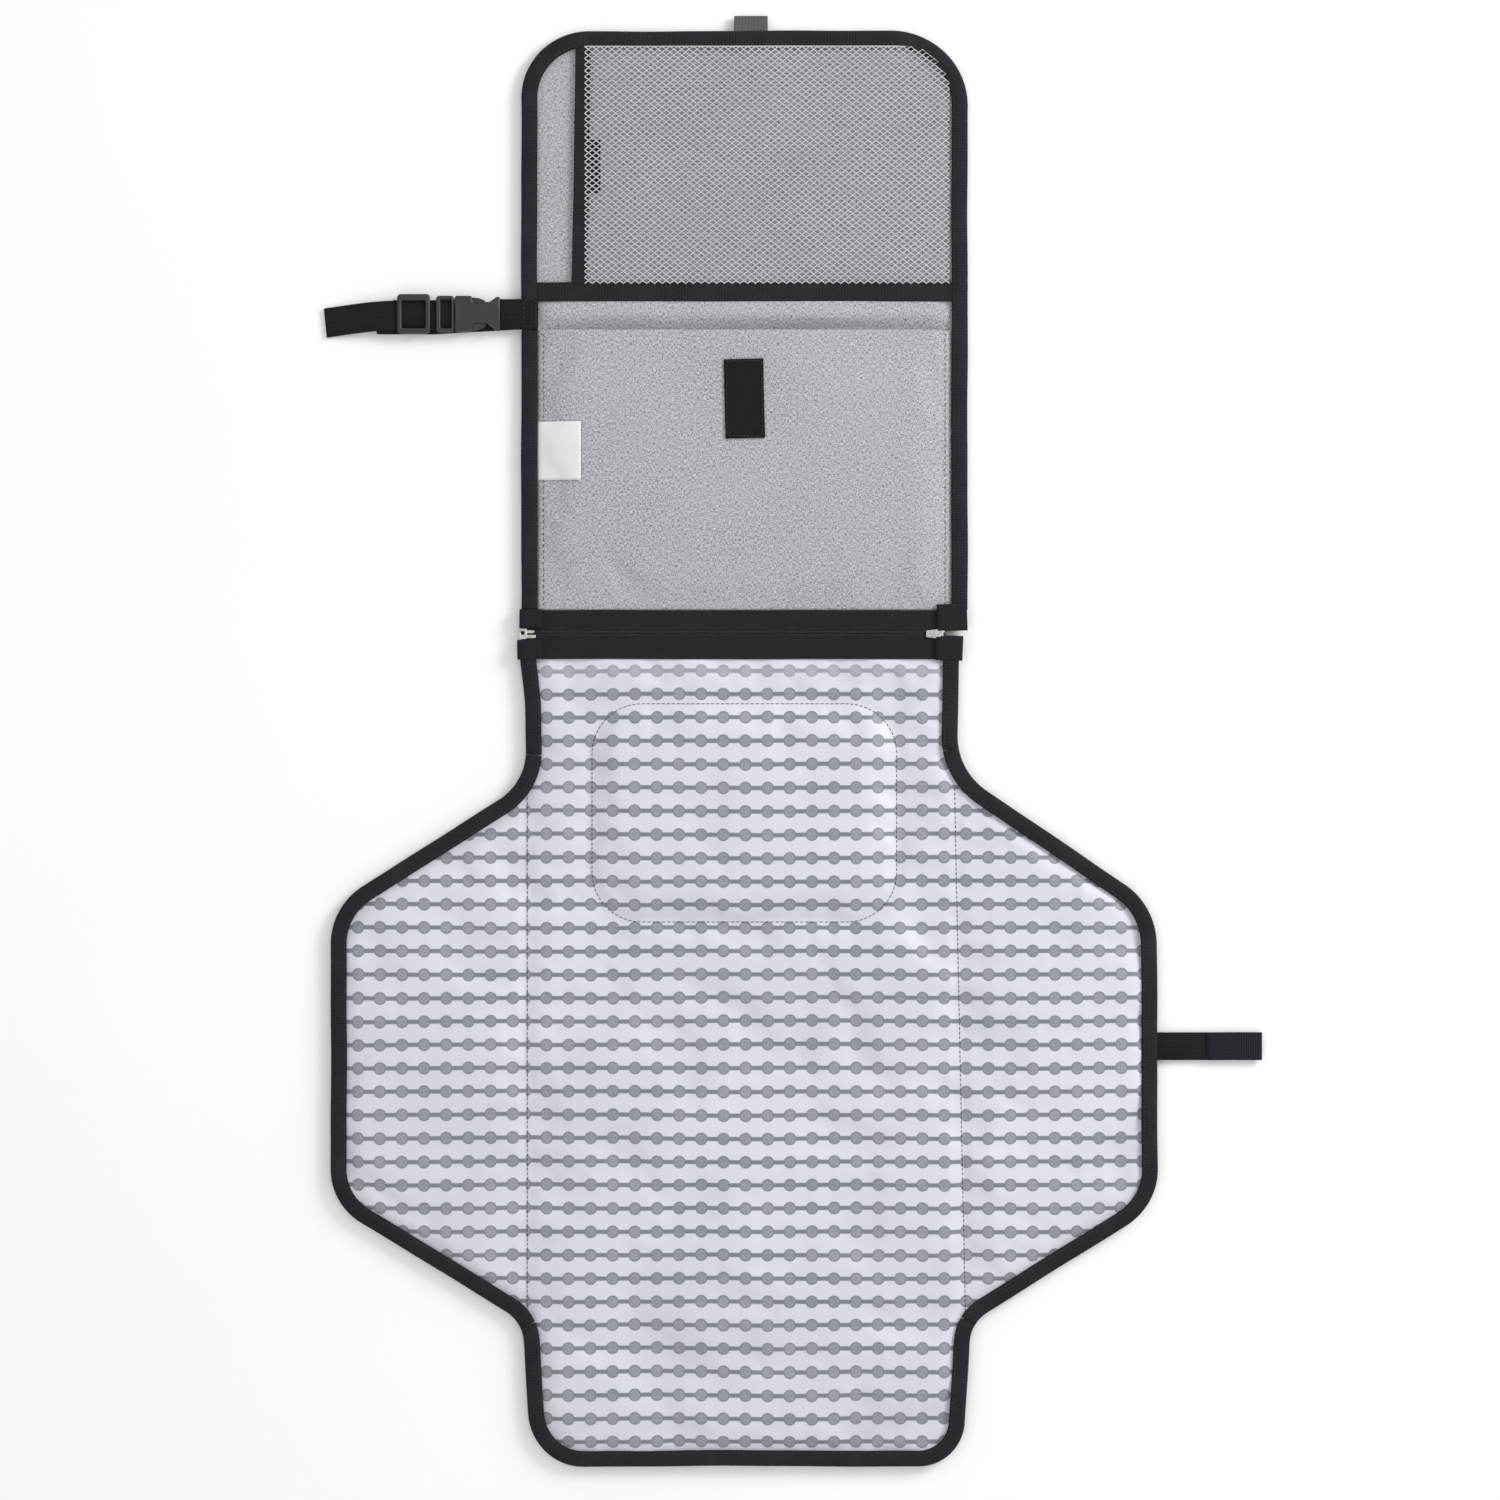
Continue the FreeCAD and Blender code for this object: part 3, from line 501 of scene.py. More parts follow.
def bent(obj, bodies, bend, stands_for=(), slot=None):
    """Bends a piece from one body to the next, and says what it stands for."""
    if slot:
        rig.slot(obj, slot)
    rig.blend(obj, *bodies, **bend)
    if stands_for:
        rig.replaces(obj, *stands_for)


# %% Paths
def rounded_path(corners, step):
    """Points a step apart along straight runs joined by arcs. A corner is (x, y, radius)."""
    runs = [Vector(corners[0][:2])]
    for before, here, after in zip(corners, corners[1:], corners[2:]):
        p = Vector(here[:2])
        back = (Vector(before[:2]) - p).normalized()
        ahead = (Vector(after[:2]) - p).normalized()
        half = back.angle(ahead) / 2
        reach = here[2] / math.tan(half)
        centre = p + (back + ahead).normalized() * (here[2] / math.sin(half))
        start, end = p + back * reach, p + ahead * reach
        sweep = math.pi - 2 * half
        count = max(2, int(sweep * here[2] / step))
        for i in range(count + 1):
            share = i / count
            angle = sweep * share
            a = start - centre
            b = end - centre
            mixed = a * math.sin(sweep - angle) + b * math.sin(angle)
            runs.append(centre + mixed / math.sin(sweep))
    runs.append(Vector(corners[-1][:2]))
    points = [runs[0]]
    for a, b in zip(runs, runs[1:]):
        count = max(1, int(round((b - a).length / step)))
        points += [a.lerp(b, (i + 1) / count) for i in range(count)]
    return points


def wobble(distance, seed, size):
    """A slow drift of hand-fed sewing, along a distance in metres."""
    slow, quick = math.sin(distance * 41 + seed), math.sin(distance * 97 + 2.3 * seed)
    return size * (slow + 0.6 * quick) / 1.6


def sides_of(points):
    """Distance so far and the unit normal to the left of travel, at each point."""
    distance, out = 0.0, []
    for i, p in enumerate(points):
        along = points[min(i + 1, len(points) - 1)] - points[max(i - 1, 0)]
        along = along.normalized()
        if i:
            distance += (p - points[i - 1]).length
        out.append((distance, Vector((-along.y, along.x))))
    return out


def moved_in(points, distance):
    """The same path, moved to its inner side."""
    return [p + n * distance for p, (d, n) in zip(points, sides_of(points))]


# %% Sweeps and plates
def swept(name, points, section, material, seed=1.0, drift=0.25 * MM, start=0.0):
    """A closed section of (inward, height) swept along flat points, with capped ends."""
    ring, verts, places = len(section), [], []
    lengths = [0.0]
    for a, b in zip(section, section[1:]):
        lengths.append(lengths[-1] + math.hypot(b[0] - a[0], b[1] - a[1]))
    for p, (distance, inward) in zip(points, sides_of(points)):
        shift = wobble(distance + start, seed, drift)
        for (u, z), length in zip(section, lengths):
            q = p + inward * (u + shift)
            verts.append((q.x, q.y, z))
            places.append((distance + start, length))
    faces = []
    for i in range(len(points) - 1):
        for j in range(ring):
            a, b = i * ring + j, i * ring + (j + 1) % ring
            faces.append((a, a + ring, b + ring, b))
    faces.append(tuple(range(ring)))
    faces.append(tuple(range(len(verts) - 1, len(verts) - 1 - ring, -1)))
    return piece(name, verts, faces, material, places)


def tape_section(width, low, high, thick=0.9 * MM):
    """Edge tape folded round a rim: flat on top, round outside, flat beneath."""
    mid, crown = (low + high) / 2, 0.25 * MM
    return [
        (width, high - thick), (width - 0.15 * MM, high - 0.25 * MM), (width - 0.8 * MM, high),
        (width * 0.55, high + crown), (width * 0.2, high - 0.1 * MM), (0.6 * MM, high - 0.9 * MM),
        (0.0, mid), (0.6 * MM, low + 0.8 * MM), (width * 0.2, low + 0.1 * MM),
        (width - 0.8 * MM, low), (width, low + thick),
    ]


def strip(name, x, y, z, material, turn=0.0, seed=0.0, uses_x=True, crown=0.15 * MM):
    """A flat strip of tape over the ranges x and y, with soft edges. Ribs cross its length."""
    long, wide = (x[1] - x[0], y[1] - y[0]) if uses_x else (y[1] - y[0], x[1] - x[0])
    middle = Vector(((x[0] + x[1]) / 2, (y[0] + y[1]) / 2))
    count = max(2, int(long / (2.5 * MM)))
    heading = Vector((1, 0)) if uses_x else Vector((0, 1))
    spots = [middle + heading * (long * (i / count - 0.5)) for i in range(count + 1)]
    half = wide / 2
    low, high = z
    shares = [k / 4 for k in range(3, -4, -1)]
    section = [(half, low), (half, high - 0.2 * MM), (half - 0.4 * MM, high),
               *[(half * s, high + crown * (1 - s * s)) for s in shares],
               (-half + 0.4 * MM, high), (-half, high - 0.2 * MM), (-half, low),
               *[(-half * s, low) for s in shares]]
    made = swept(name, spots, section, material, seed=seed, drift=0.15 * MM)
    if turn:
        spin = math.radians(turn)
        for v in made.data.vertices:
            d = Vector(v.co[:2]) - middle
            v.co.x = middle.x + d.x * math.cos(spin) - d.y * math.sin(spin)
            v.co.y = middle.y + d.x * math.sin(spin) + d.y * math.cos(spin)
    return made


def plate(name, outline, holes, low, high, material, round_by=0.6 * MM):
    """A flat moulding with holes and rounded edges, from closed outlines in metres."""
    curve = bpy.data.curves.new(name, "CURVE")
    curve.dimensions, curve.fill_mode = "2D", "BOTH"
    curve.bevel_depth, curve.bevel_resolution = round_by, 2
    curve.extrude = (high - low) / 2 - round_by
    curve.offset = -round_by
    for loop in (outline, *holes):
        spline = curve.splines.new("POLY")
        spline.points.add(len(loop) - 1)
        for point, (x, y) in zip(spline.points, loop):
            point.co = (x, y, 0, 1)
        spline.use_cyclic_u = True
    holder = bpy.data.objects.new(name + "_curve", curve)
    bpy.context.scene.collection.objects.link(holder)
    mesh = bpy.data.meshes.new_from_object(holder)
    bpy.data.objects.remove(holder)
    points = [(v.co.x, v.co.y, v.co.z + (low + high) / 2) for v in mesh.vertices]
    return piece(name, points, [tuple(p.vertices) for p in mesh.polygons], material)


def slab_outline(x, y, radius, corners=6):
    """A rectangle with rounded corners, as points."""
    out = []
    for cx, cy, first in ((x[1], y[1], 0), (x[0], y[1], 90), (x[0], y[0], 180), (x[1], y[0], 270)):
        mx = cx - radius if cx == x[1] else cx + radius
        my = cy - radius if cy == y[1] else cy + radius
        for i in range(corners + 1):
            angle = math.radians(first + 90 * i / corners)
            out.append((mx + radius * math.cos(angle), my + radius * math.sin(angle)))
    return out


# %% [markdown]
# Stitches are real thread, so each one is a tiny raised capsule. They follow a path and sit on
# the cloth wherever it has risen, which a ray cast straight down finds.


# %% Stitches
STITCH_SHAPE = ((0, -0.3, 0.3), (0.2, 0.35, 0.9), (0.5, 0.6, 1), (0.8, 0.35, 0.9), (1, -0.3, 0.3))
TAPE_STITCH = dict(long=2.4 * MM, gap=1.0 * MM)
TAPE_STITCH_INSET = 1.6 * MM


def stitches(name, points, height, material, long=2.7 * MM, gap=0.5 * MM, thick=0.45 * MM):
    """A row of stitches along flat points. Height gives the cloth's Z at a point."""
    verts, faces, walked, next_at = [], [], 0.0, 0.0
    dense = []
    for a, b in zip(points, points[1:]):
        count = max(1, int((b - a).length / (0.4 * MM)))
        dense += [a.lerp(b, i / count) for i in range(count)]
    start = None
    for a, b in zip(dense, dense[1:]):
        walked += (b - a).length
        if start is None and walked >= next_at:
            start = a
        if start is not None and walked >= next_at + long:
            add_stitch(verts, faces, start, b, height, thick)
            start, next_at = None, walked + gap
    return piece(name, verts, faces, material)


def add_stitch(verts, faces, a, b, height, thick):
    """One capsule of thread from a to b, dipping into the cloth at both ends."""
    across = Vector((-(b - a).y, (b - a).x)).normalized()
    base = len(verts)
    for share, lift, girth in STITCH_SHAPE:
        p = a.lerp(b, share)
        top = height(p) + lift * thick
        for angle in (0, 90, 180, 270):
            side = across * (math.cos(math.radians(angle)) * thick * girth / 2)
            rise = math.sin(math.radians(angle)) * thick * girth / 2
            verts.append((p.x + side.x, p.y + side.y, top + rise))
    for i in range(4):
        for j in range(4):
            q, r = base + i * 4 + j, base + i * 4 + (j + 1) % 4
            faces.append((q, q + 4, r + 4, r))


def dropped_on(*objects):
    """A function that gives the highest Z of these pieces below a flat point."""
    trees = [BVHTree.FromPolygons([v.co[:] for v in o.data.vertices],
                                  [tuple(p.vertices) for p in o.data.polygons]) for o in objects]

    def height(p):
        found = [t.ray_cast(Vector((p.x, p.y, 0.05)), Vector((0, 0, -1)))[0] for t in trees]
        return max((f.z for f in found if f is not None), default=0.006)

    return height


# %% [markdown] ## Cloth settled by simulation A padded cloth is cut a little larger than the
# foam it covers, so it puckers beside every seam. The simulation does just that: the sheet is
# held at its seams, grows by about one percent, and is pushed up gently. Twenty frames are
# enough, and a cap keeps every point near its place.


# %% Simulation
def settled(obj, held, grow, pressure, cap, stiff=12.0, bend=0.6):
    """Runs cloth on a sheet. Held is one weight per point, and cap the longest move."""
    rest = np.array([v.co[:] for v in obj.data.vertices])
    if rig.quick():
        return obj
    group = obj.vertex_groups.new(name="held")
    for index in np.flatnonzero(held > 0):
        group.add([int(index)], float(held[index]), "REPLACE")
    modifier = obj.modifiers.new("cloth", "CLOTH")
    cloth = modifier.settings
    cloth.quality = 5
    cloth.mass = 0.25
    cloth.tension_stiffness = cloth.compression_stiffness = stiff
    cloth.shear_stiffness = stiff * 0.5
    cloth.bending_stiffness = bend
    cloth.vertex_group_mass = "held"
    cloth.shrink_min = -grow
    cloth.use_pressure = True
    cloth.uniform_pressure_force = pressure
    cloth.effector_weights.gravity = 0.0
    scene = bpy.context.scene
    for number in range(1, 21):
        scene.frame_set(number)
    graph = bpy.context.evaluated_depsgraph_get()
    moved = np.array([v.co[:] for v in obj.evaluated_get(graph).data.vertices])
    obj.modifiers.clear()
    scene.frame_set(1)
    step = moved - rest
    reach = np.linalg.norm(step, axis=1, keepdims=True)
    step *= np.minimum(1.0, cap / np.maximum(reach, 1e-9))
    step[:, :2] *= 0.5
    obj.data.vertices.foreach_set("co", (rest + step).astype(np.float32).ravel())
    obj.data.update()
    print(f"{obj.name}: largest move {reach.max() * 1000:.1f} mm")
    return obj


def smoothed(obj):
    """One subdivision, applied."""
    sub = obj.modifiers.new("sub", "SUBSURF")
    sub.levels = sub.render_levels = 1
    sub.boundary_smooth = "PRESERVE_CORNERS"
    return baked(obj)


def thickened(obj, thickness, offset):
    """Gives a sheet its thickness, below it with an offset of -1 and above it with 1."""
    solid = obj.modifiers.new("cloth", "SOLIDIFY")
    solid.thickness, solid.offset = thickness, offset
    return baked(obj)


def grid_sheet(name, x, y, step, height, material, keep=None):
    """A sheet of square cells over ranges x and y. Keep(x, y) says which cells stay."""
    across = int(round((x[1] - x[0]) / step))
    up = int(round((y[1] - y[0]) / step))
    xs = [x[0] + (x[1] - x[0]) * i / across for i in range(across + 1)]
    ys = [y[0] + (y[1] - y[0]) * j / up for j in range(up + 1)]
    cells = [
        (i, j)
        for j in range(up)
        for i in range(across)
        if keep is None or keep((xs[i] + xs[i + 1]) / 2, (ys[j] + ys[j + 1]) / 2)
    ]
    number, points, faces = {}, [], []
    for i, j in cells:
        face = []
        for a, b in ((i, j), (i + 1, j), (i + 1, j + 1), (i, j + 1)):
            if (a, b) not in number:
                number[(a, b)] = len(points)
                points.append((xs[a], ys[b], height(xs[a], ys[b])))
            face.append(number[(a, b)])
        faces.append(tuple(face))
    return piece(name, points, faces, material)


def rim_points(obj):
    """The indices of the points on a sheet's open rim."""
    counts = {}
    for polygon in obj.data.polygons:
        for key in polygon.edge_keys:
            counts[key] = counts.get(key, 0) + 1
    return {v for key, count in counts.items() if count == 1 for v in key}


def closed(obj, low, material):
    """Turns a sheet into a pad: the same cells again at height low, and a wall round the rim."""
    mesh = obj.data
    points = [v.co.copy() for v in mesh.vertices]
    places = [(0.0, 0.0)] * len(points)
    for polygon in mesh.polygons:
        for loop in polygon.loop_indices:
            places[mesh.loops[loop].vertex_index] = tuple(mesh.uv_layers[0].data[loop].uv)
    faces = [tuple(p.vertices) for p in mesh.polygons]
    count = len(points)
    points += [Vector((p.x, p.y, low)) for p in points]
    under = [tuple(v + count for v in reversed(face)) for face in faces]
    edges = {}
    for face in faces:
        for a, b in zip(face, face[1:] + face[:1]):
            edges[(a, b)] = edges.get((a, b), 0) + 1
    places += places
    walls = []
    for a, b in edges:
        if (b, a) in edges:
            continue
        base = len(points)
        for corner in (b, a, a + count, b + count):
            points.append(points[corner].copy())
            places.append(places[corner])
        walls.append((base, base + 1, base + 2, base + 3))
    top = mesh.materials[0]
    made = piece(obj.name + "_pad", points, faces + under + walls, top, places)
    made.data.materials.append(material)
    for polygon in made.data.polygons[len(faces):]:
        polygon.material_index = 1
    name = obj.name
    bpy.data.objects.remove(obj)
    made.name = name
    return made


# %% [markdown]
# ## The mat
# The mat is one printed sheet over foam, sewn to a back sheet round the rim, down the two wing
# folds and round the head cushion. It is modelled as one sheet so that its puckers run on, then
# cut into centre, wings and foot, which fold. The rim of the grid is stepped, and the edge
# tape hides it as real tape hides a cut edge.

# %% Mat edge
mat_low, mat_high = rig.box("mat_top_sheet")
HALF = mat_high.x
HEAD_Y, FOLD_Y, FOOT_Y = mat_high.y, mat_low.y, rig.box("foot_binding")[0].y
WING_X = -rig.box("left_wing_binding")[0].x
TAPE = 11 * MM
TOP_Z = mat_high.z
UNDERSIDE = 0.85 * MM

LEFT_EDGE = [
    (-HALF - 3.5 * MM, HEAD_Y, 0),
    (-HALF, 245 * MM, 80 * MM),
    (-HALF + 1 * MM, 191 * MM, 40 * MM),
    (-WING_X, 107 * MM, 48 * MM),
    (-WING_X - 0.2 * MM, -97 * MM, 44 * MM),
    (-HALF - 1.5 * MM, -177 * MM, 26 * MM),
    (-HALF + 4 * MM, FOOT_Y, 38 * MM),
    (0, FOOT_Y + 0.6 * MM, 0),
]
RIGHT_EDGE = [
    (0, FOOT_Y + 0.6 * MM, 0),
    (HALF - 1 * MM, FOOT_Y, 32 * MM),
    (HALF + 4.5 * MM, -178 * MM, 26 * MM),
    (WING_X, -98 * MM, 46 * MM),
    (WING_X - 0.8 * MM, 107 * MM, 50 * MM),
    (HALF - 4.5 * MM, 199 * MM, 46 * MM),
    (HALF - 3.5 * MM, HEAD_Y, 0),
]
left_path = rounded_path(LEFT_EDGE, 3 * MM)
right_path = rounded_path(RIGHT_EDGE, 3 * MM)
mat_path = left_path + right_path[1:]
print("mat edge is", round(sides_of(mat_path)[-1][0], 3), "metres round")


def inside(path, x, y):
    """True where a flat point is inside the closed path."""
    hit = False
    for a, b in zip(path, path[1:] + path[:1]):
        if (a.y > y) != (b.y > y) and x < a.x + (b.x - a.x) * (y - a.y) / (b.y - a.y):
            hit = not hit
    return hit


RIM_INSET = 4 * MM
rim_path = moved_in(mat_path, RIM_INSET)
print("cloth stops", RIM_INSET / MM, "mm inside the tape")

# %% Seams of the mat
cushion_low, cushion_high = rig.box("head_cushion_cover")
SEAM_ENDS = (-175 * MM, 188 * MM)
CUSHION_RADIUS = 34 * MM
edge_tree = kdtree.KDTree(len(mat_path))
for index, p in enumerate(mat_path):
    edge_tree.insert((p.x, p.y, 0), index)
edge_tree.balance()


def seam_x(side, y):
    """The fold seams: the left one is straight and the right one leans out to the foot."""
    if side < 0:
        return -HALF + 1.8 * MM
    share = (SEAM_ENDS[1] - y) / (SEAM_ENDS[1] - SEAM_ENDS[0])
    return HALF - 6.5 * MM + 7.5 * MM * share


CUSHION_MIDDLE = ((cushion_low.x + cushion_high.x) / 2, (cushion_low.y + cushion_high.y) / 2)
CUSHION_HALF = ((cushion_high.x - cushion_low.x) / 2, (cushion_high.y - cushion_low.y) / 2)


def cushion_distance(x, y):
    """Distance inside the cushion's stitched outline, and below zero outside it."""
    dx = abs(x - CUSHION_MIDDLE[0]) - CUSHION_HALF[0] + CUSHION_RADIUS
    dy = abs(y - CUSHION_MIDDLE[1]) - CUSHION_HALF[1] + CUSHION_RADIUS
    outside = math.hypot(max(dx, 0), max(dy, 0))
    return CUSHION_RADIUS - outside - min(max(dx, dy), 0)


print("cushion is", [round(2 * half, 3) for half in CUSHION_HALF], "metres")

def dip(distance, width):
    """1 on a seam and 0 beyond its width."""
    share = min(1.0, abs(distance) / width)
    return (1 - share * share) ** 2


def ripple(x, y, across, along, seed):
    """Soft irregular waves, with one length across and another along."""
    return noise.noise(Vector((x / across, y / along, seed)))


def beside(distance, reach):
    """0 under a tape, rising to its most just beside it, then fading over the reach."""
    return min(1.0, max(0.0, distance) / (5 * MM)) * math.exp(-max(0.0, distance) / reach)


def mat_height(x, y):
    """Foam pulled down at every seam, with puckers beside it and the cushion above it."""
    seam, pucker = 0.0, 0.0
    for side in (-1, 1):
        if SEAM_ENDS[0] < y < SEAM_ENDS[1]:
            away = abs(x - seam_x(side, y))
            seam = max(seam, dip(away, 7 * MM))
            pucker += math.exp(-away / (24 * MM)) * ripple(x, y, 60 * MM, 17 * MM, side)
    inside_cushion = cushion_distance(x, y)
    seam = max(seam, dip(inside_cushion, 6 * MM))
    rise = 3.4 * MM * min(1.0, max(0.0, inside_cushion / (16 * MM))) ** 0.6
    edge = edge_tree.find((x, y, 0))[2] - TAPE
    pucker += 0.8 * beside(edge, 16 * MM) * ripple(x, y, 22 * MM, 22 * MM, 4)
    under_zip = HEAD_Y - y
    pucker += 1.6 * beside(under_zip, 13 * MM) * ripple(x, y, 26 * MM, 60 * MM, 7)
    drop = 1.7 * MM * dip(max(edge, 0), 7 * MM) + 1.5 * MM * dip(max(under_zip, 0), 9 * MM)
    broad = 1.1 * MM * ripple(x, y, 130 * MM, 90 * MM, 2) * min(1.0, max(edge, 0) / (40 * MM))
    return TOP_Z + rise + broad + 1.7 * MM * pucker - 1.5 * MM * seam - drop


# %% Mat sheet, settled
CELL = 5 * MM
mat_sheet = grid_sheet(
    "mat_sheet", (-285 * MM, 285 * MM), (FOLD_Y - 20 * CELL, HEAD_Y + 0.7 * MM), CELL,
    mat_height, PRINT, lambda x, y: inside(rim_path, x, y),
)
sheet_rim = rim_points(mat_sheet)
held = np.zeros(len(mat_sheet.data.vertices))
for vertex in mat_sheet.data.vertices:
    x, y, z = vertex.co
    nearest = min(abs(x - seam_x(-1, y)), abs(x - seam_x(1, y)))
    on_seam = nearest < 0.5 * CELL and SEAM_ENDS[0] < y < SEAM_ENDS[1]
    on_cushion = abs(cushion_distance(x, y)) < 0.5 * CELL
    under_tape = edge_tree.find((x, y, 0))[2] < TAPE or HEAD_Y - y < 3 * MM
    if vertex.index in sheet_rim or on_seam or on_cushion or under_tape:
        held[vertex.index] = 1.0
    else:
        vertex.co.z += random.uniform(-0.12, 0.3) * MM
settled(mat_sheet, held, 0.014, 0.35, 2.6 * MM)
smoothed(mat_sheet)
mat_top_at = dropped_on(mat_sheet)
print(len(mat_sheet.data.polygons), "cells in the mat sheet")

# %% [markdown]
# The wing folds are hinges in the model. A wing's cloth stays with the centre at the seam and
# turns fully with the wing a short way out, so it rolls over instead of cracking. The foot
# does the same at its own fold. At the left seam the real cloth has a small tuck that hides
# part of each dot, so the print steps there.

# %% Mat cut into centre, wings and foot
ROLL = 15 * MM
FOOT_ROLL = 30 * MM
TUCK_X, TUCK = -HALF + 1.3 * MM, 7 * MM


def cut_piece(name, source, wanted):
    """A copy of the cells of a sheet whose UV middle is wanted, with the print tucked."""
    mesh = source.data
    uv = mesh.uv_layers[0].data
    number, points, places, faces = {}, [], [], []
    for polygon in mesh.polygons:
        middle = sum((uv[i].uv for i in polygon.loop_indices), Vector((0, 0))) / polygon.loop_total
        if not wanted(middle.x, middle.y):
            continue
        face = []
        for loop in polygon.loop_indices:
            vertex = mesh.loops[loop].vertex_index
            if vertex not in number:
                number[vertex] = len(points)
                points.append(mesh.vertices[vertex].co.copy())
                u, v = uv[loop].uv
                hidden = TUCK if u < TUCK_X and SEAM_ENDS[0] < v < SEAM_ENDS[1] else 0.0
                places.append((u - hidden, v))
            face.append(number[vertex])
        faces.append(tuple(face))
    return piece(name, points, faces, PRINT, places)


areas = {
    "mat_cloth": lambda x, y: abs(x) < HALF and y > FOLD_Y,
    "left_wing_cloth": lambda x, y: x < -HALF and y > FOLD_Y,
    "right_wing_cloth": lambda x, y: x > HALF and y > FOLD_Y,
    "foot_cloth": lambda x, y: y < FOLD_Y,
}
cloths = {}
for name, wanted in areas.items():
    cloths[name] = closed(cut_piece(name, mat_sheet, wanted), UNDERSIDE, BACKING)
    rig.padded(cloths[name], fill=0.35)
bpy.data.objects.remove(mat_sheet)

SIDES = (("left", -1), ("right", 1))
MAT_BENDS = {
    f"{side}_wing": dict(start=(sign * HALF, 0, 0), end=(sign * (HALF + ROLL), 0, 0))
    for side, sign in SIDES
}
MAT_BENDS["foot"] = dict(start=(0, FOLD_Y, 0), end=(0, FOLD_Y - FOOT_ROLL, 0))


def joined(obj, part, stands_for=(), slot=None):
    """Bends a wing or foot piece from the mat, and rides any other piece on it."""
    if part in MAT_BENDS:
        bent(obj, ("mat", part), MAT_BENDS[part], stands_for, slot)
    else:
        fitted(obj, "mat", stands_for, slot)


for name, cloth in cloths.items():
    part = name.removesuffix("_cloth")
    layers = [f"{part}_{layer}" for layer in ("back_sheet", "foam", "top_sheet")]
    if part == "mat":
        layers += ["head_cushion_foam", "head_cushion_cover"]
    joined(cloth, part, layers, "printed_cloth")
print(len(cloths), "mat cloths")

# %% [markdown]
# Edge tape is grosgrain, 24 mm wide, folded in half round the rim and sewn through. It is
# swept along the mat's edge as a folded section, in five lengths that follow the mat, the two
# wings and the foot, with the same section where two lengths meet so that the tape looks unbroken.

# %% Mat edge tape
TAPE_LOW = 0.1 * MM
MAT_TAPE = tape_section(TAPE, TAPE_LOW, 7.3 * MM)
HEAD_JOIN_Y = 212 * MM


def stretch_of(path, first, last):
    """The run of a path between the first points past two tests."""
    start = next(i for i, p in enumerate(path) if first(p))
    end = next(i for i, p in enumerate(path) if i > start and last(p))
    return path[start:end + 1], sides_of(path)[start][0]


runs = {
    "head_tape_left": (lambda p: True, lambda p: p.y < HEAD_JOIN_Y),
    "left_wing_tape": (lambda p: p.y < HEAD_JOIN_Y, lambda p: p.y < FOLD_Y),
    "foot_tape": (lambda p: p.y < FOLD_Y, lambda p: p.x > 0 and p.y > FOLD_Y),
    "right_wing_tape": (lambda p: p.x > 0 and p.y > FOLD_Y, lambda p: p.y > HEAD_JOIN_Y),
    "head_tape_right": (lambda p: p.x > 0 and p.y > HEAD_JOIN_Y,
                        lambda p: p.y > HEAD_Y - 0.01 * MM),
}
tapes = {}
for name, (first, last) in runs.items():
    run, so_far = stretch_of(mat_path, first, last)
    tapes[name] = swept(name, run, MAT_TAPE, BINDING, seed=0.0, start=so_far)
    joined(tapes[name], name.removesuffix("_tape"), [name.replace("tape", "binding")],
           "binding_tape")
print(len(tapes), "lengths of tape round the mat")

# %% Mat stitching
cushion_edge = slab_outline(
    (cushion_low.x, cushion_high.x), (cushion_low.y, cushion_high.y), CUSHION_RADIUS, 12
)
cushion_edge = [Vector(p) for p in cushion_edge + cushion_edge[:1]]
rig.ride(stitches("cushion_stitches", cushion_edge, mat_top_at, THREAD), "mat")
for side, sign in SIDES:
    seam_points = [Vector((seam_x(sign, y), y)) for y in reversed(SEAM_ENDS)]
    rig.ride(stitches(f"{side}_fold_stitches", seam_points, mat_top_at, THREAD), "mat")


def tape_stitches(name, tape, path):
    """The row of black stitches near a tape's inner edge."""
    inner = moved_in(path, TAPE - TAPE_STITCH_INSET)
    return stitches(name + "_stitches", inner, dropped_on(tape), BLACK_THREAD, **TAPE_STITCH)


for name, tape in tapes.items():
    row = tape_stitches(name, tape, stretch_of(mat_path, *runs[name])[0])
    joined(row, name.removesuffix("_tape"))
print(len(tapes) + 3, "rows of stitches on the mat")

# %% [markdown]
# ## The organizer
# The organizer is a stiffened panel in two halves. The lining runs on across the fold under the
# cross tape, so one sheet serves both halves and bends there. The flat pocket is a second
# layer, sewn down at its sides and foot, whose mouth stands a little open.

# %% Organizer lining
lower_low, lower_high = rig.box("lower_lining")
panel_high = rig.box("upper_binding")[1]
PANEL, PANEL_TOP = panel_high.x, panel_high.y
PANEL_FOOT, LINING_Z = lower_low.y, lower_high.z
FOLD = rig.box("upper_lining")[0].y
ORGANIZER = ("organizer_lower", "organizer_upper")
FOLD_BEND = dict(start=(0, FOLD - 6 * MM, 0), end=(0, FOLD + 9 * MM, 0))
POCKET_TOP_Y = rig.box("flat_pocket_front")[1].y

panel_path = rounded_path(
    [(-PANEL, PANEL_FOOT, 0), (-PANEL, PANEL_TOP - 1 * MM, 46 * MM), (PANEL, PANEL_TOP, 52 * MM),
     (PANEL, PANEL_FOOT, 0)], 3 * MM,
)
panel_path = [Vector((p.x, p.y)) for p in reversed(panel_path)]
panel_rim = moved_in(panel_path, RIM_INSET)


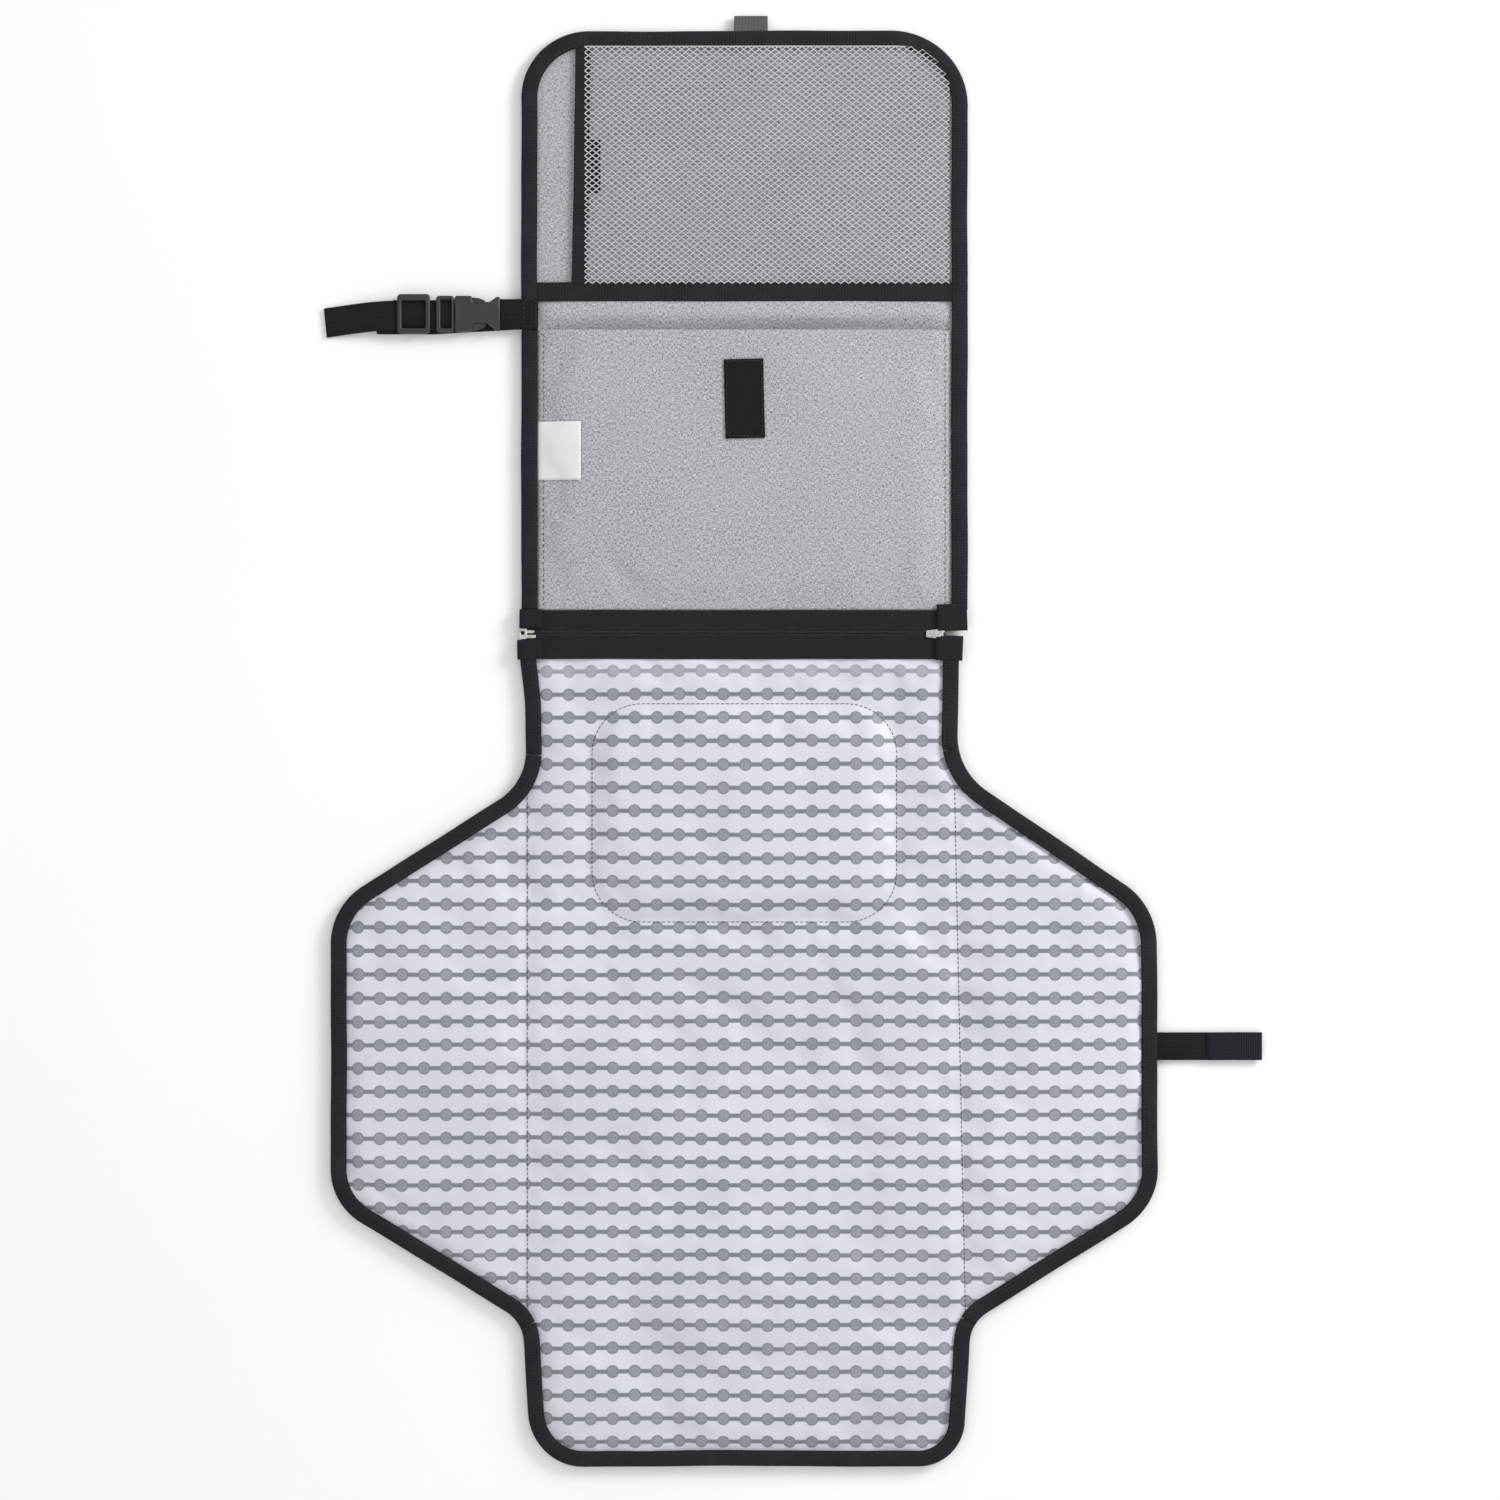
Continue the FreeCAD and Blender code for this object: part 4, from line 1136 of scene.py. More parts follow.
def lining_height(x, y):
    """Nearly flat, with a soft roll above the pocket mouth where the panel is bent."""
    share = min(1.0, max(0.0, (y - POCKET_TOP_Y - 4.5 * MM) / (19 * MM)))
    roll = math.sin(math.pi * share ** 0.62)
    side = min(1.0, max(0.0, (PANEL - TAPE - abs(x)) / (14 * MM)))
    lively = 1 + 0.45 * ripple(x, y, 60 * MM, 60 * MM, 5)
    soft = 0.5 * MM * ripple(x, y, 70 * MM, 45 * MM, 9)
    return LINING_Z + 0.4 * MM + 4.8 * MM * roll * lively * side ** 0.5 + soft


lining = grid_sheet(
    "organizer_lining", (-PANEL, PANEL), (PANEL_FOOT, PANEL_TOP), 4 * MM, lining_height,
    HEATHER, lambda x, y: inside(panel_rim, x, y),
)
lining = closed(smoothed(lining), UNDERSIDE, HEATHER)
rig.padded(lining, fill=0.1)
bent(lining, ORGANIZER, FOLD_BEND, ["lower_shell", "lower_stiffener", "lower_lining",
     "upper_shell", "upper_stiffener", "upper_lining"], "heather_cloth")
print("organizer is", round(2 * PANEL, 3), "by", round(PANEL_TOP - PANEL_FOOT, 3), "metres")

# %% Flat pocket, settled
pocket_low, pocket_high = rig.box("flat_pocket_front")


def pocket_height(x, y):
    """Low at its three sewn sides, and easing up towards the open mouth."""
    side = min(1.0, (pocket_high.x - abs(x)) / (22 * MM))
    foot = min(1.0, (y - pocket_low.y) / (60 * MM))
    soft = 1.0 * MM * ripple(x, y, 80 * MM, 60 * MM, 11)
    return LINING_Z + 1.6 * MM + (3.0 * MM + soft) * max(side, 0) ** 0.6 * max(foot, 0) ** 0.8


pocket = grid_sheet(
    "flat_pocket", (pocket_low.x, pocket_high.x), (pocket_low.y - 1 * MM, pocket_high.y), 4.7 * MM,
    pocket_height, HEATHER,
)
held = np.zeros(len(pocket.data.vertices))
for vertex in pocket.data.vertices:
    x, y, z = vertex.co
    if abs(x) > pocket_high.x - 5 * MM or y < pocket_low.y + 4 * MM:
        held[vertex.index] = 1.0
settled(pocket, held, 0.008, 0.5, 2.2 * MM)
smoothed(pocket)
thickened(pocket, 0.8 * MM, -1)
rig.sheet(pocket, flat=(pocket_high.x - pocket_low.x, pocket_high.y - pocket_low.y), held="laid",
         rests_on=["organizer_lining"])
fitted(pocket, "organizer_lower", ["flat_pocket_front"], "heather_cloth")
pocket_at = dropped_on(pocket, lining)

for side, sign in SIDES:
    x = sign * (pocket_high.x - 4.5 * MM)
    seam_points = [Vector((x, pocket_high.y - 2 * MM)), Vector((x, pocket_low.y + 2 * MM))]
    seam = stitches(f"pocket_{side}_stitches", seam_points, pocket_at, THREAD, 2.4 * MM, 1.4 * MM)
    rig.ride(seam, "organizer_lower")
print("pocket mouth at", round(pocket_high.y, 3), "metres")

# %% Organizer edge tape
PANEL_TAPE = tape_section(TAPE, TAPE_LOW, 6.6 * MM)
panel_tape = swept("organizer_tape", panel_path, PANEL_TAPE, BINDING, seed=3.0)
bent(panel_tape, ORGANIZER, FOLD_BEND,
     ["upper_binding", "lower_binding_left", "lower_binding_right"], "binding_tape")
bent(tape_stitches("organizer_tape", panel_tape, panel_path), ORGANIZER, FOLD_BEND)
print("organizer edge is", round(sides_of(panel_path)[-1][0], 3), "metres long")

# %% Cross tape and net edge tape
cross_low, cross_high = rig.box("cross_binding")
edge_low, edge_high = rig.box("net_edge_binding")
cross = strip("cross_tape", (cross_low.x - 1 * MM, cross_high.x + 1 * MM),
              (FOLD - 6.9 * MM, FOLD + 6.0 * MM), (LINING_Z + 0.3 * MM, 6.0 * MM), BINDING, seed=5)
bent(cross, ORGANIZER, FOLD_BEND, ["cross_binding"], "binding_tape")
edge = strip("net_edge_tape", (edge_low.x, edge_high.x - 0.6 * MM),
             (FOLD + 4 * MM, edge_high.y + 1 * MM), (4.4 * MM, 6.2 * MM), BINDING,
             turn=-1.0, seed=2, uses_x=False)
fitted(edge, "organizer_upper", ["net_edge_binding"], "binding_tape")
print("cross tape lies over the fold at", round(FOLD, 4), "metres")

# %% [markdown]
# The net is warp-knitted: zigzag threads that touch their neighbours and leave small diamonds.
# Each zigzag is a thin tube, and every second one is mirrored. Thread with
# real thickness casts the fine shadows that make a net look like a net.

# %% Net pocket
net_low, net_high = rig.box("net_pocket")
CELL_X, CELL_Y = 5.3 * MM, 4.15 * MM
THREAD_RADIUS = 0.52 * MM
NET_CORNER, NET_OVER = 36 * MM, 1 * MM


def net_height(x, y):
    """The net lies on the tapes at its rim and rises in soft waves between them."""
    u = min(x - net_low.x, net_high.x - x) / (60 * MM)
    v = min(y - net_low.y, net_high.y - y) / (50 * MM)
    rise = min(1.0, max(u, 0)) ** 0.7 * min(1.0, max(v, 0)) ** 0.7
    waves = 1.1 * ripple(x, y, 55 * MM, 40 * MM, 3)
    return 6.4 * MM + (1.3 + waves) * MM * rise


def net():
    """Rows of zigzag thread, each a tube with four sides."""
    verts, faces, places = [], [], []
    rows = int((net_high.y - net_low.y) / (CELL_Y / 2)) + 3
    columns = int((net_high.x - net_low.x) / (CELL_X / 2)) + 3
    for row_number in range(rows):
        y0 = net_low.y - 1.2 * MM + row_number * CELL_Y / 2
        run = []
        for column_number in range(columns):
            x = net_low.x - 1.6 * MM + column_number * CELL_X / 2
            up = 1 if (column_number + row_number) % 2 else -1
            y = y0 + up * (CELL_Y / 4 - 0.1 * MM)
            past_x, past_y = x - net_high.x, y - net_high.y
            corner = math.hypot(max(0, past_x + NET_CORNER), max(0, past_y + NET_CORNER))
            if corner < NET_CORNER + NET_OVER and max(past_x, past_y) < NET_OVER:
                run.append((x, y, net_height(x, y) + up * 0.12 * MM))
        for index, (x, y, z) in enumerate(run):
            base = len(verts)
            for dy, dz in ((1, 0), (0, 1), (-1, 0), (0, -1)):
                verts.append((x, y + dy * THREAD_RADIUS, z + dz * THREAD_RADIUS * 0.7))
                places.append((x, y))
            if index:
                faces += [(base - 4 + k, base + k, base + (k + 1) % 4, base - 4 + (k + 1) % 4)
                          for k in range(4)]
    return piece("net", verts, faces, NET_THREAD, places)


net_piece = net()
fitted(net_piece, "organizer_upper", ["net_pocket"], "net")
print(len(net_piece.data.polygons), "faces in the net")

# %% Patches, label and hang loop
def on_cloth(obj, height, clear):
    """Sets a flat patch down on the cloth under it."""
    base = min(v.co.z for v in obj.data.vertices)
    for v in obj.data.vertices:
        v.co.z += height(Vector(v.co[:2])) - base + clear
    return obj


hook_low, hook_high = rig.box("net_hook_patch")
hook = strip("net_hook_patch_tape", (hook_low.x, hook_high.x), (hook_low.y, hook_high.y),
             (LINING_Z + 0.5 * MM, LINING_Z + 1.3 * MM), HOOK_TAPE, uses_x=False)
fitted(hook, "organizer_upper", ["net_hook_patch"])

loop_low, loop_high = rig.box("pocket_loop_patch")
patch = strip("loop_patch", (loop_low.x, loop_high.x), (loop_low.y, loop_high.y),
              (0, 1.1 * MM), LOOP_TAPE, turn=1.4, uses_x=False)
on_cloth(patch, pocket_at, 0.05 * MM)
left, right = loop_low.x + TAPE_STITCH_INSET, loop_high.x - TAPE_STITCH_INSET
foot, head = loop_low.y + TAPE_STITCH_INSET, loop_high.y - TAPE_STITCH_INSET
patch_edge = [Vector(p) for p in
              ((left, foot), (right, foot), (right, head), (left, head), (left, foot))]
patch_seam = stitches("loop_patch_stitches", patch_edge, dropped_on(patch), BLACK_THREAD)
fitted(patch, "organizer_lower", ["pocket_loop_patch"])
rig.ride(patch_seam, "organizer_lower")

label_low, label_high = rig.box("sewn_label")
label = grid_sheet("blank_label", (label_low.x - 1.5 * MM, label_high.x),
                   (label_low.y, label_high.y), 2 * MM,
                   lambda x, y: pocket_at(Vector((x, y))) + 0.35 * MM
                   + 0.9 * MM * max(0, (x - label_low.x) / (29 * MM)) ** 3, LABEL)
thickened(label, 0.25 * MM, 1)
fitted(label, "organizer_lower", ["sewn_label"], "label_cloth")

hang_low, hang_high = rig.box("hang_loop")
hang = plate("hang_loop_tape", slab_outline((hang_low.x, hang_high.x),
             (PANEL_TOP - 3 * MM, hang_high.y), 0.6 * MM, 2), [], 1.8 * MM, 4.6 * MM, LOOP_GREY,
             0.5 * MM)
fitted(hang, "hang_loop", ["hang_loop"], "loop_webbing")
print("hang loop stands out", round((hang_high.y - PANEL_TOP) / MM, 1), "mm")

# %% [markdown]
# ## The zip
# A separating zip joins mat and organizer: two woven tapes, two rows of coil, a retainer box
# with its pin at the left and a slider at the right. Each tape bends between mat and
# organizer with the band, and the hardware rides where the model holds it.

# %% Zip
ZIP_Y = (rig.box("zip_tape_mat")[1].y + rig.box("zip_tape_organizer")[0].y) / 2
ZIP_BODIES = ("mat", "organizer_lower")
TOOTH = 1.3 * MM
ZIP_BEND = dict(start=(0, ZIP_Y - 2 * MM, 0), end=(0, ZIP_Y + 12 * MM, 0))
BAND = (-HALF - 2 * MM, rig.box("zip_slider")[1].x)


def zip_half(name, near, far, node_tape, node_coil, side):
    """One tape with its row of coil along the near edge."""
    band = strip(name, BAND, (min(near, far), max(near, far)), (5.0 * MM, 6.1 * MM), ZIP_TAPE,
                 seed=near * 40)
    verts, faces = [], []
    for number in range(int((BAND[1] - BAND[0]) / TOOTH)):
        x = BAND[0] + number * TOOTH
        base = len(verts)
        for dx, dy, z in ((0, 0, 5.6), (0.75, 0, 5.6), (0.75, 2.6, 5.6), (0, 2.6, 5.6),
                          (0.2, 0.1, 6.5), (0.55, 0.1, 6.5), (0.55, 2.3, 6.45), (0.2, 2.3, 6.45)):
            verts.append((x + dx * MM, near + side * (dy - 0.5) * MM, z * MM))
        faces += [tuple(base + k for k in face) for face in
                  ((4, 5, 6, 7), (0, 1, 5, 4), (1, 2, 6, 5), (2, 3, 7, 6), (3, 0, 4, 7))]
    teeth = piece(name + "_coil", verts, faces, NYLON)
    for made, node in ((band, node_tape), (teeth, node_coil)):
        bent(made, ZIP_BODIES, ZIP_BEND, [node], "zip_coil")


zip_half("zip_tape_foot_side", ZIP_Y - 0.15 * MM, HEAD_Y - 0.8 * MM, "zip_tape_mat",
         "zip_coil_mat", -1)
zip_half("zip_tape_head_side", ZIP_Y + 0.15 * MM, PANEL_FOOT - 0.3 * MM, "zip_tape_organizer",
         "zip_coil_organizer", 1)
print(int((BAND[1] - BAND[0]) / TOOTH), "teeth in each half of the zip")

# %% Zip ends
def end_block(name, x, y, body, node, turn):
    """A scrap of tape folded over a raw end, like a small cushion."""
    block = strip(name, x, y, (4.6 * MM, 7.8 * MM), ZIP_TAPE, turn=turn, crown=0.5 * MM)
    stands_for = [node] if node else []
    if body == "mat":
        fitted(block, body, stands_for, "binding_tape")
    else:
        bent(block, ZIP_BODIES, ZIP_BEND, stands_for, "binding_tape")


end_block("end_block_foot_side", (130.5 * MM, 149 * MM), (274.5 * MM, 291.4 * MM), "mat",
          "zip_end_block_mat", -2)
end_block("end_block_head_side", (131.5 * MM, 152 * MM), (294.6 * MM, 313 * MM),
          "organizer_lower", "zip_end_block_organizer", 2)
end_block("end_fold_left_foot", (-155 * MM, -138 * MM), (275.2 * MM, 288.6 * MM), "mat", None, 1)
end_block("end_fold_left_head", (-153.5 * MM, -138 * MM), (296.6 * MM, 309.4 * MM),
          "organizer_lower", None, -1)
print("zip ends covered with 4 blocks")

# %% [markdown]
# The retainer is a small die-cast box with a hollow in its face, and the two pins of the tapes
# reach into it. The slider is a wedge with a bright bridge along its middle. Both are
# plated, so a rubbed edge is bright. The hollow's near black is painted shade: a dark nylon
# floor sits inside the box and shows only through the hollow.

# %% Zip hardware
box_low, box_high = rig.box("zip_retainer_box")
box_top = 6.9 * MM
cast_end = box_low.x + 5.6 * MM
hollow = slab_outline((box_low.x + 1.4 * MM, box_low.x + 3.9 * MM),
                      (ZIP_Y - 0.6 * MM, ZIP_Y + 1.8 * MM), 0.9 * MM)
cast_box = plate("retainer_box", slab_outline((box_low.x, cast_end), (ZIP_Y - 3.9 * MM,
                 ZIP_Y + 3.9 * MM), 1.2 * MM), [hollow], 4.2 * MM, box_top, METAL, 0.5 * MM)
# Painted shade: a near black nylon floor that is seen only through the hollow of the cast box.
hollow_shade_floor = plate("retainer_hollow_shade", slab_outline((box_low.x + 0.6 * MM, cast_end - 0.6 * MM),
                  (ZIP_Y - 3 * MM, ZIP_Y + 3 * MM), 1 * MM), [], 3.4 * MM, 5.0 * MM, NYLON,
                  0.3 * MM)
pins = [plate(f"retainer_pin_{name}", slab_outline((cast_end - 1 * MM, x), y, 0.9 * MM), [],
              4.8 * MM, box_top - 0.2 * MM, METAL, 0.5 * MM)
        for name, x, y in (("head_side", box_high.x - 1 * MM, (ZIP_Y + 0.3 * MM, ZIP_Y + 2.6 * MM)),
                           ("foot_side", box_high.x, (ZIP_Y - 3.2 * MM, ZIP_Y - 0.6 * MM)))]
for made, stands_for in ((cast_box, ["zip_retainer_box"]), (hollow_shade_floor, []), (pins[0], []),
                         (pins[1], ["zip_insertion_pin"])):
    fitted(made, "mat", stands_for)
print("retainer box is", round((cast_end - box_low.x) / MM, 1), "mm long")


# %% Zip slider
slide_low, slide_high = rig.box("zip_slider")
middle = (slide_low.y + slide_high.y) / 2
wedge = [(slide_low.x, middle - 2.3 * MM), (slide_high.x - 3 * MM, slide_low.y),
         (slide_high.x, slide_low.y + 0.8 * MM), (slide_high.x - 1.6 * MM, middle),
         (slide_high.x, slide_high.y - 0.8 * MM), (slide_high.x - 3 * MM, slide_high.y),
         (slide_low.x, middle + 2.3 * MM)]
slider_plates = [plate(f"slider_plate_{name}", wedge, [], low, low + 1.3 * MM, METAL, 0.4 * MM)
                 for name, low in (("back", 0.9 * MM), ("front", 6.5 * MM))]
bridge = plate("slider_bridge", slab_outline((slide_low.x + 1 * MM, slide_high.x - 3 * MM),
               (middle - 2.2 * MM, middle - 0.3 * MM), 0.8 * MM), [], 7.3 * MM, 8.4 * MM, METAL,
               0.4 * MM)
post = plate("slider_post", slab_outline((slide_high.x - 3.4 * MM, slide_high.x - 1.6 * MM),
             (middle - 0.8 * MM, middle + 0.8 * MM), 0.5 * MM), [], 1.8 * MM, 6.9 * MM, METAL,
             0.3 * MM)
fitted(slider_plates[0], "slider", ["zip_slider"])
for made in (slider_plates[1], bridge, post):
    fitted(made, "slider")
puller = frame["nodes"]["zip_puller"]
puller.data.materials.clear()
puller.data.materials.append(METAL)
print("slider is", round((slide_high.x - slide_low.x) / MM, 1), "mm long")

# %% [markdown]
# ## Strap and buckle
# Webbing is 20 mm wide and stiff enough to keep its curve, so it is a flat section swept along
# a side view. The buckle halves and the tri-glide are mouldings, cut from outlines with
# rounded edges. The waist of the female half shows the prongs that a finger squeezes.


# %% Webbing runs
def webbing_run(name, spots, middle_y, width, thick, material=WEBBING, drift=0.0, ease=None):
    """A strap along spots (x, z), standing width across. Ease(x) moves it along Y."""
    verts, faces, places, distance = [], [], [], 0.0
    dense = [spots[0]]
    for a, b in zip(spots, spots[1:]):
        count = max(1, int(math.dist(a, b) / (1.5 * MM)))
        dense += [(a[0] + (b[0] - a[0]) * (i + 1) / count, a[1] + (b[1] - a[1]) * (i + 1) / count)
                  for i in range(count)]
    for _ in range(3):
        dense = [dense[0]] + [
            tuple((a[k] + 2 * b[k] + c[k]) / 4 for k in (0, 1))
            for a, b, c in zip(dense, dense[1:], dense[2:])
        ] + [dense[-1]]
    half = width / 2
    profile = [(-half, 0), (-half + 0.3 * MM, thick / 2), (0, thick / 2 + 0.06 * MM),
               (half - 0.3 * MM, thick / 2), (half, 0), (half - 0.3 * MM, -thick / 2),
               (-half + 0.3 * MM, -thick / 2)]
    for i, (x, z) in enumerate(dense):
        before, after = dense[max(i - 1, 0)], dense[min(i + 1, len(dense) - 1)]
        along = Vector((after[0] - before[0], after[1] - before[1])).normalized()
        up = Vector((-along.y, along.x))
        if i:
            distance += math.dist(dense[i - 1], dense[i])
        centre = middle_y + (ease(x) if ease else 0.0)
        for across, rise in profile:
            verts.append((x + up.x * rise + drift * across, centre + across, z + up.y * rise))
            places.append((distance, across))
    ring = len(profile)
    for i in range(len(dense) - 1):
        for j in range(ring):
            a, b = i * ring + j, i * ring + (j + 1) % ring
            faces.append((a, b, b + ring, a + ring))
    faces.append(tuple(range(ring - 1, -1, -1)))
    faces.append(tuple(range(len(verts) - ring, len(verts))))
    return piece(name, verts, faces, material, places)


female_low, female_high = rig.box("buckle_female")
male_low, male_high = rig.box("buckle_male")
glide_low, glide_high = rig.box("tri_glide")
STRAP_Y = (female_low.y + female_high.y) / 2
TAIL_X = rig.box("tail_webbing")[0].x
STRAP_BEND = dict(start=(-PANEL, 0, 0), end=(-PANEL - 5 * MM, 0, 0))


# %% Strap
sewn = webbing_run("sewn_strap", [(-140.8 * MM, 7.2 * MM), (-152 * MM, 7.1 * MM),
                                  (-157 * MM, 6.6 * MM), (-169 * MM, 6.2 * MM)],
                   STRAP_Y - 0.2 * MM, 20.6 * MM, 1.5 * MM)
bent(sewn, ("organizer_lower", "strap"), STRAP_BEND, ["strap_patch", "short_webbing"], "webbing")
sewn_box = [Vector((x * MM, STRAP_Y + y * MM)) for x, y in
            ((-142.3, -8.6), (-142.3, 9.2), (-150.3, 9.2), (-150.3, -8.6), (-142.3, -8.6))]
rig.ride(stitches("sewn_strap_stitches", sewn_box, dropped_on(sewn), BLACK_THREAD),
        "organizer_lower")


def strap_drift(x):
    """The long run leaves the panel a little nearer the foot than the buckle."""
    return -3.4 * MM * min(1.0, max(0.0, (-PANEL - x) / (60 * MM)))


TURN_X, TURN_RADIUS, RUN_END = -249 * MM, 2.2 * MM, -240.2 * MM
turn_points = [(TURN_X - TURN_RADIUS * math.sin(math.pi * k / 6),
                3.0 * MM - TURN_RADIUS * math.cos(math.pi * k / 6)) for k in range(7)]
long_run = webbing_run("long_strap", [(-PANEL + 1 * MM, 0.9 * MM), *turn_points,
                                      (RUN_END, 5.2 * MM)],
                       STRAP_Y, 20 * MM, 1.2 * MM, ease=strap_drift)
bent(long_run, ("strap", "male_buckle"), dict(start=(-0.17, 0, 0), end=(-0.235, 0, 0)),
     ["long_webbing"], "webbing")

male_run = webbing_run("doubled_strap", [(male_high.x, 5.6 * MM), (male_low.x + 6 * MM, 6.2 * MM),
                                         (male_low.x - 1 * MM, 5.7 * MM), (RUN_END, 5.7 * MM)],
                       STRAP_Y - 0.6 * MM, 20.2 * MM, 2.4 * MM)
fitted(male_run, "male_buckle", ["doubled_webbing"], "webbing")


def tail_drift(x):
    """The tail curves gently towards the foot, as it lies."""
    return -1.0 * MM - 5.0 * MM * min(1.0, max(0.0, (-0.240 - x) / (48 * MM))) ** 1.4


tail_side = [(-0.2385, 6.4 * MM), (-0.250, 6.7 * MM), (-0.258, 6.0 * MM), (-0.266, 4.4 * MM),
             (-0.275, 2.6 * MM), (TAIL_X + 0.6 * MM, 1.4 * MM)]
tail = webbing_run("strap_tail", tail_side, STRAP_Y, 20 * MM, 1.3 * MM, drift=-0.10,
                   ease=tail_drift)
fitted(tail, "male_buckle", ["tail_webbing"], "webbing")
print("strap ends", round((-PANEL - TAIL_X) / MM), "mm beyond the organizer")

# %% Female buckle
def across_strap(points):
    """Points (x, half width) mirrored about the strap's middle into a closed outline."""
    far = [(x, STRAP_Y + half) for x, half in points]
    near = [(x, STRAP_Y - half) for x, half in reversed(points)]
    return far + near


left, right = female_low.x, female_high.x
half_wide = (female_high.y - female_low.y) / 2
waist = [(11.4, 0.4), (12.0, 2.6), (12.9, 4.9), (14.0, 5.9), (20.8, 5.9), (22.4, 5.4)]
shell = [(right, half_wide - 1.6 * MM), (right - 0.8 * MM, half_wide - 0.7 * MM),
         (right - 2.6 * MM, half_wide - 0.9 * MM),
         *[(left + x * MM, half_wide - depth * MM) for x, depth in reversed(waist)],
         (left + 10.8 * MM, half_wide - 0.1 * MM), (left + 1.2 * MM, half_wide),
         (left, half_wide - 1.2 * MM)]
female = plate("female_buckle", across_strap(shell), [], female_low.z + 0.4 * MM,
               female_high.z, PLASTIC, 1.1 * MM)
rib_bar = plate("female_buckle_rib", slab_outline((left + 0.9 * MM, left + 2.1 * MM),
                (STRAP_Y - 10 * MM, STRAP_Y + 10 * MM), 0.5 * MM, 3), [],
                female_high.z - 0.6 * MM, female_high.z + 0.3 * MM, PLASTIC, 0.3 * MM)
fitted(female, "strap", ["buckle_female"], "buckle_plastic")
fitted(rib_bar, "strap", slot="buckle_plastic")
print("female buckle is", round((right - left) / MM, 1), "mm long")

# %% Male buckle and prongs
base_hole = slab_outline((male_low.x + 3.0 * MM, male_low.x + 10.4 * MM),
                         (STRAP_Y - 9.8 * MM, STRAP_Y + 9.8 * MM), 0.8 * MM, 4)
base = plate("male_buckle_base", slab_outline((male_low.x, left - 0.5 * MM),
             (male_low.y, male_high.y), 2.0 * MM, 5), [base_hole], male_low.z + 0.8 * MM,
             male_high.z - 0.2 * MM, PLASTIC, 1.0 * MM)
tongue = plate("male_buckle_tongue", slab_outline((left - 1 * MM, left + 18 * MM),
               (STRAP_Y - 2 * MM, STRAP_Y + 2 * MM), 1.0 * MM, 4), [], 4.2 * MM, 6.6 * MM,
               PLASTIC, 0.5 * MM)
fitted(base, "male_buckle", ["buckle_male"], "buckle_plastic")
fitted(tongue, "male_buckle", slot="buckle_plastic")
for node, side in (("male_prong_head_side", 1), ("male_prong_foot_side", -1)):
    root = left - 1 * MM
    shoulder = [(root + (12 + 11 * k / 8) * MM,
                 STRAP_Y + side * (6.8 + 4.4 * math.sqrt(1 - (k / 8) ** 2)) * MM)
                for k in range(9)]
    outline = [(root, STRAP_Y + side * 9.4 * MM), *shoulder,
               (root + 22 * MM, STRAP_Y + side * 5 * MM), (root, STRAP_Y + side * 5 * MM)]
    made = plate(node + "_arm", outline, [], 3.6 * MM, 7.4 * MM, PLASTIC, 0.5 * MM)
    fitted(made, "male_buckle", [node], "buckle_plastic")
print("male buckle base is", round((left - male_low.x) / MM, 1), "mm long")

# %% Tri-glide
window = slab_outline((glide_low.x + 3.2 * MM, glide_high.x - 3.2 * MM),
                      (STRAP_Y - 9.8 * MM, STRAP_Y + 8.8 * MM), 1.2 * MM, 4)
rim = plate("tri_glide_rim", slab_outline((glide_low.x, glide_high.x),
            (glide_low.y, glide_high.y), 2.6 * MM, 6), [window], 6.0 * MM, 8.8 * MM, PLASTIC,
            1.1 * MM)
fitted(rim, "tri_glide", ["tri_glide"], "buckle_plastic")
side_x = (glide_low.x + 2 * MM, glide_high.x - 2 * MM)
glide_middle = (glide_low.x + glide_high.x) / 2
for name, x, y, low, high in (
        ("side_a", side_x, (glide_low.y, glide_low.y + 2.6 * MM), 3.2 * MM, 7 * MM),
        ("side_b", side_x, (glide_high.y - 2.6 * MM, glide_high.y), 3.2 * MM, 7 * MM),
        ("middle_bar", (glide_middle - 2 * MM, glide_middle + 2 * MM),
         (glide_low.y, glide_high.y), 3.0 * MM, 4.2 * MM)):
    leg = plate(f"tri_glide_{name}", slab_outline(x, y, 0.8 * MM, 3), [], low, high, PLASTIC,
                0.4 * MM)
    fitted(leg, "tri_glide", slot="buckle_plastic")
print("tri-glide is", round((glide_high.x - glide_low.x) / MM, 1), "mm long")

# %% [markdown]
# ## Closure tab
# The tab is webbing sewn under the wing's edge tape, with hook tape stitched on its outer half.
# It closes the rolled mat by gripping the loop patch.

# %% Closure tab
web_low, web_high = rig.box("tab_webbing")
grip_low, grip_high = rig.box("tab_hook_tape")
tab_y = (web_low.y + web_high.y) / 2
tab = webbing_run("closure_tab", [(WING_X - 5 * MM, 3.0 * MM), (web_low.x + 6 * MM, 2.8 * MM),
                                  (web_high.x - 1 * MM, 2.6 * MM)], tab_y, 19 * MM, 1.3 * MM)
TAB_BEND = dict(start=(WING_X - 1 * MM, 0, 0), end=(WING_X + 4 * MM, 0, 0))
bent(tab, ("right_wing", "closure_tab"), TAB_BEND, ["tab_webbing"], "webbing")
grip = strip("tab_hook", (grip_low.x, grip_high.x - 0.5 * MM), (tab_y - 9.5 * MM, tab_y + 9.5 * MM),
             (3.2 * MM, 4.4 * MM), HOOK_TAPE)
fitted(grip, "closure_tab", ["tab_hook_tape"], "hook_tape")
print("tab is", round((web_high.x - WING_X) / MM), "mm long beyond the tape")

# %% [markdown]
# ## Floor, light and camera
# The pad lies on a white sweep under a large soft light, with a little more light from the
# right so that edges throw a faint shadow to the left. The camera hangs straight above, far
# away with a long lens, so the drawing stays true.

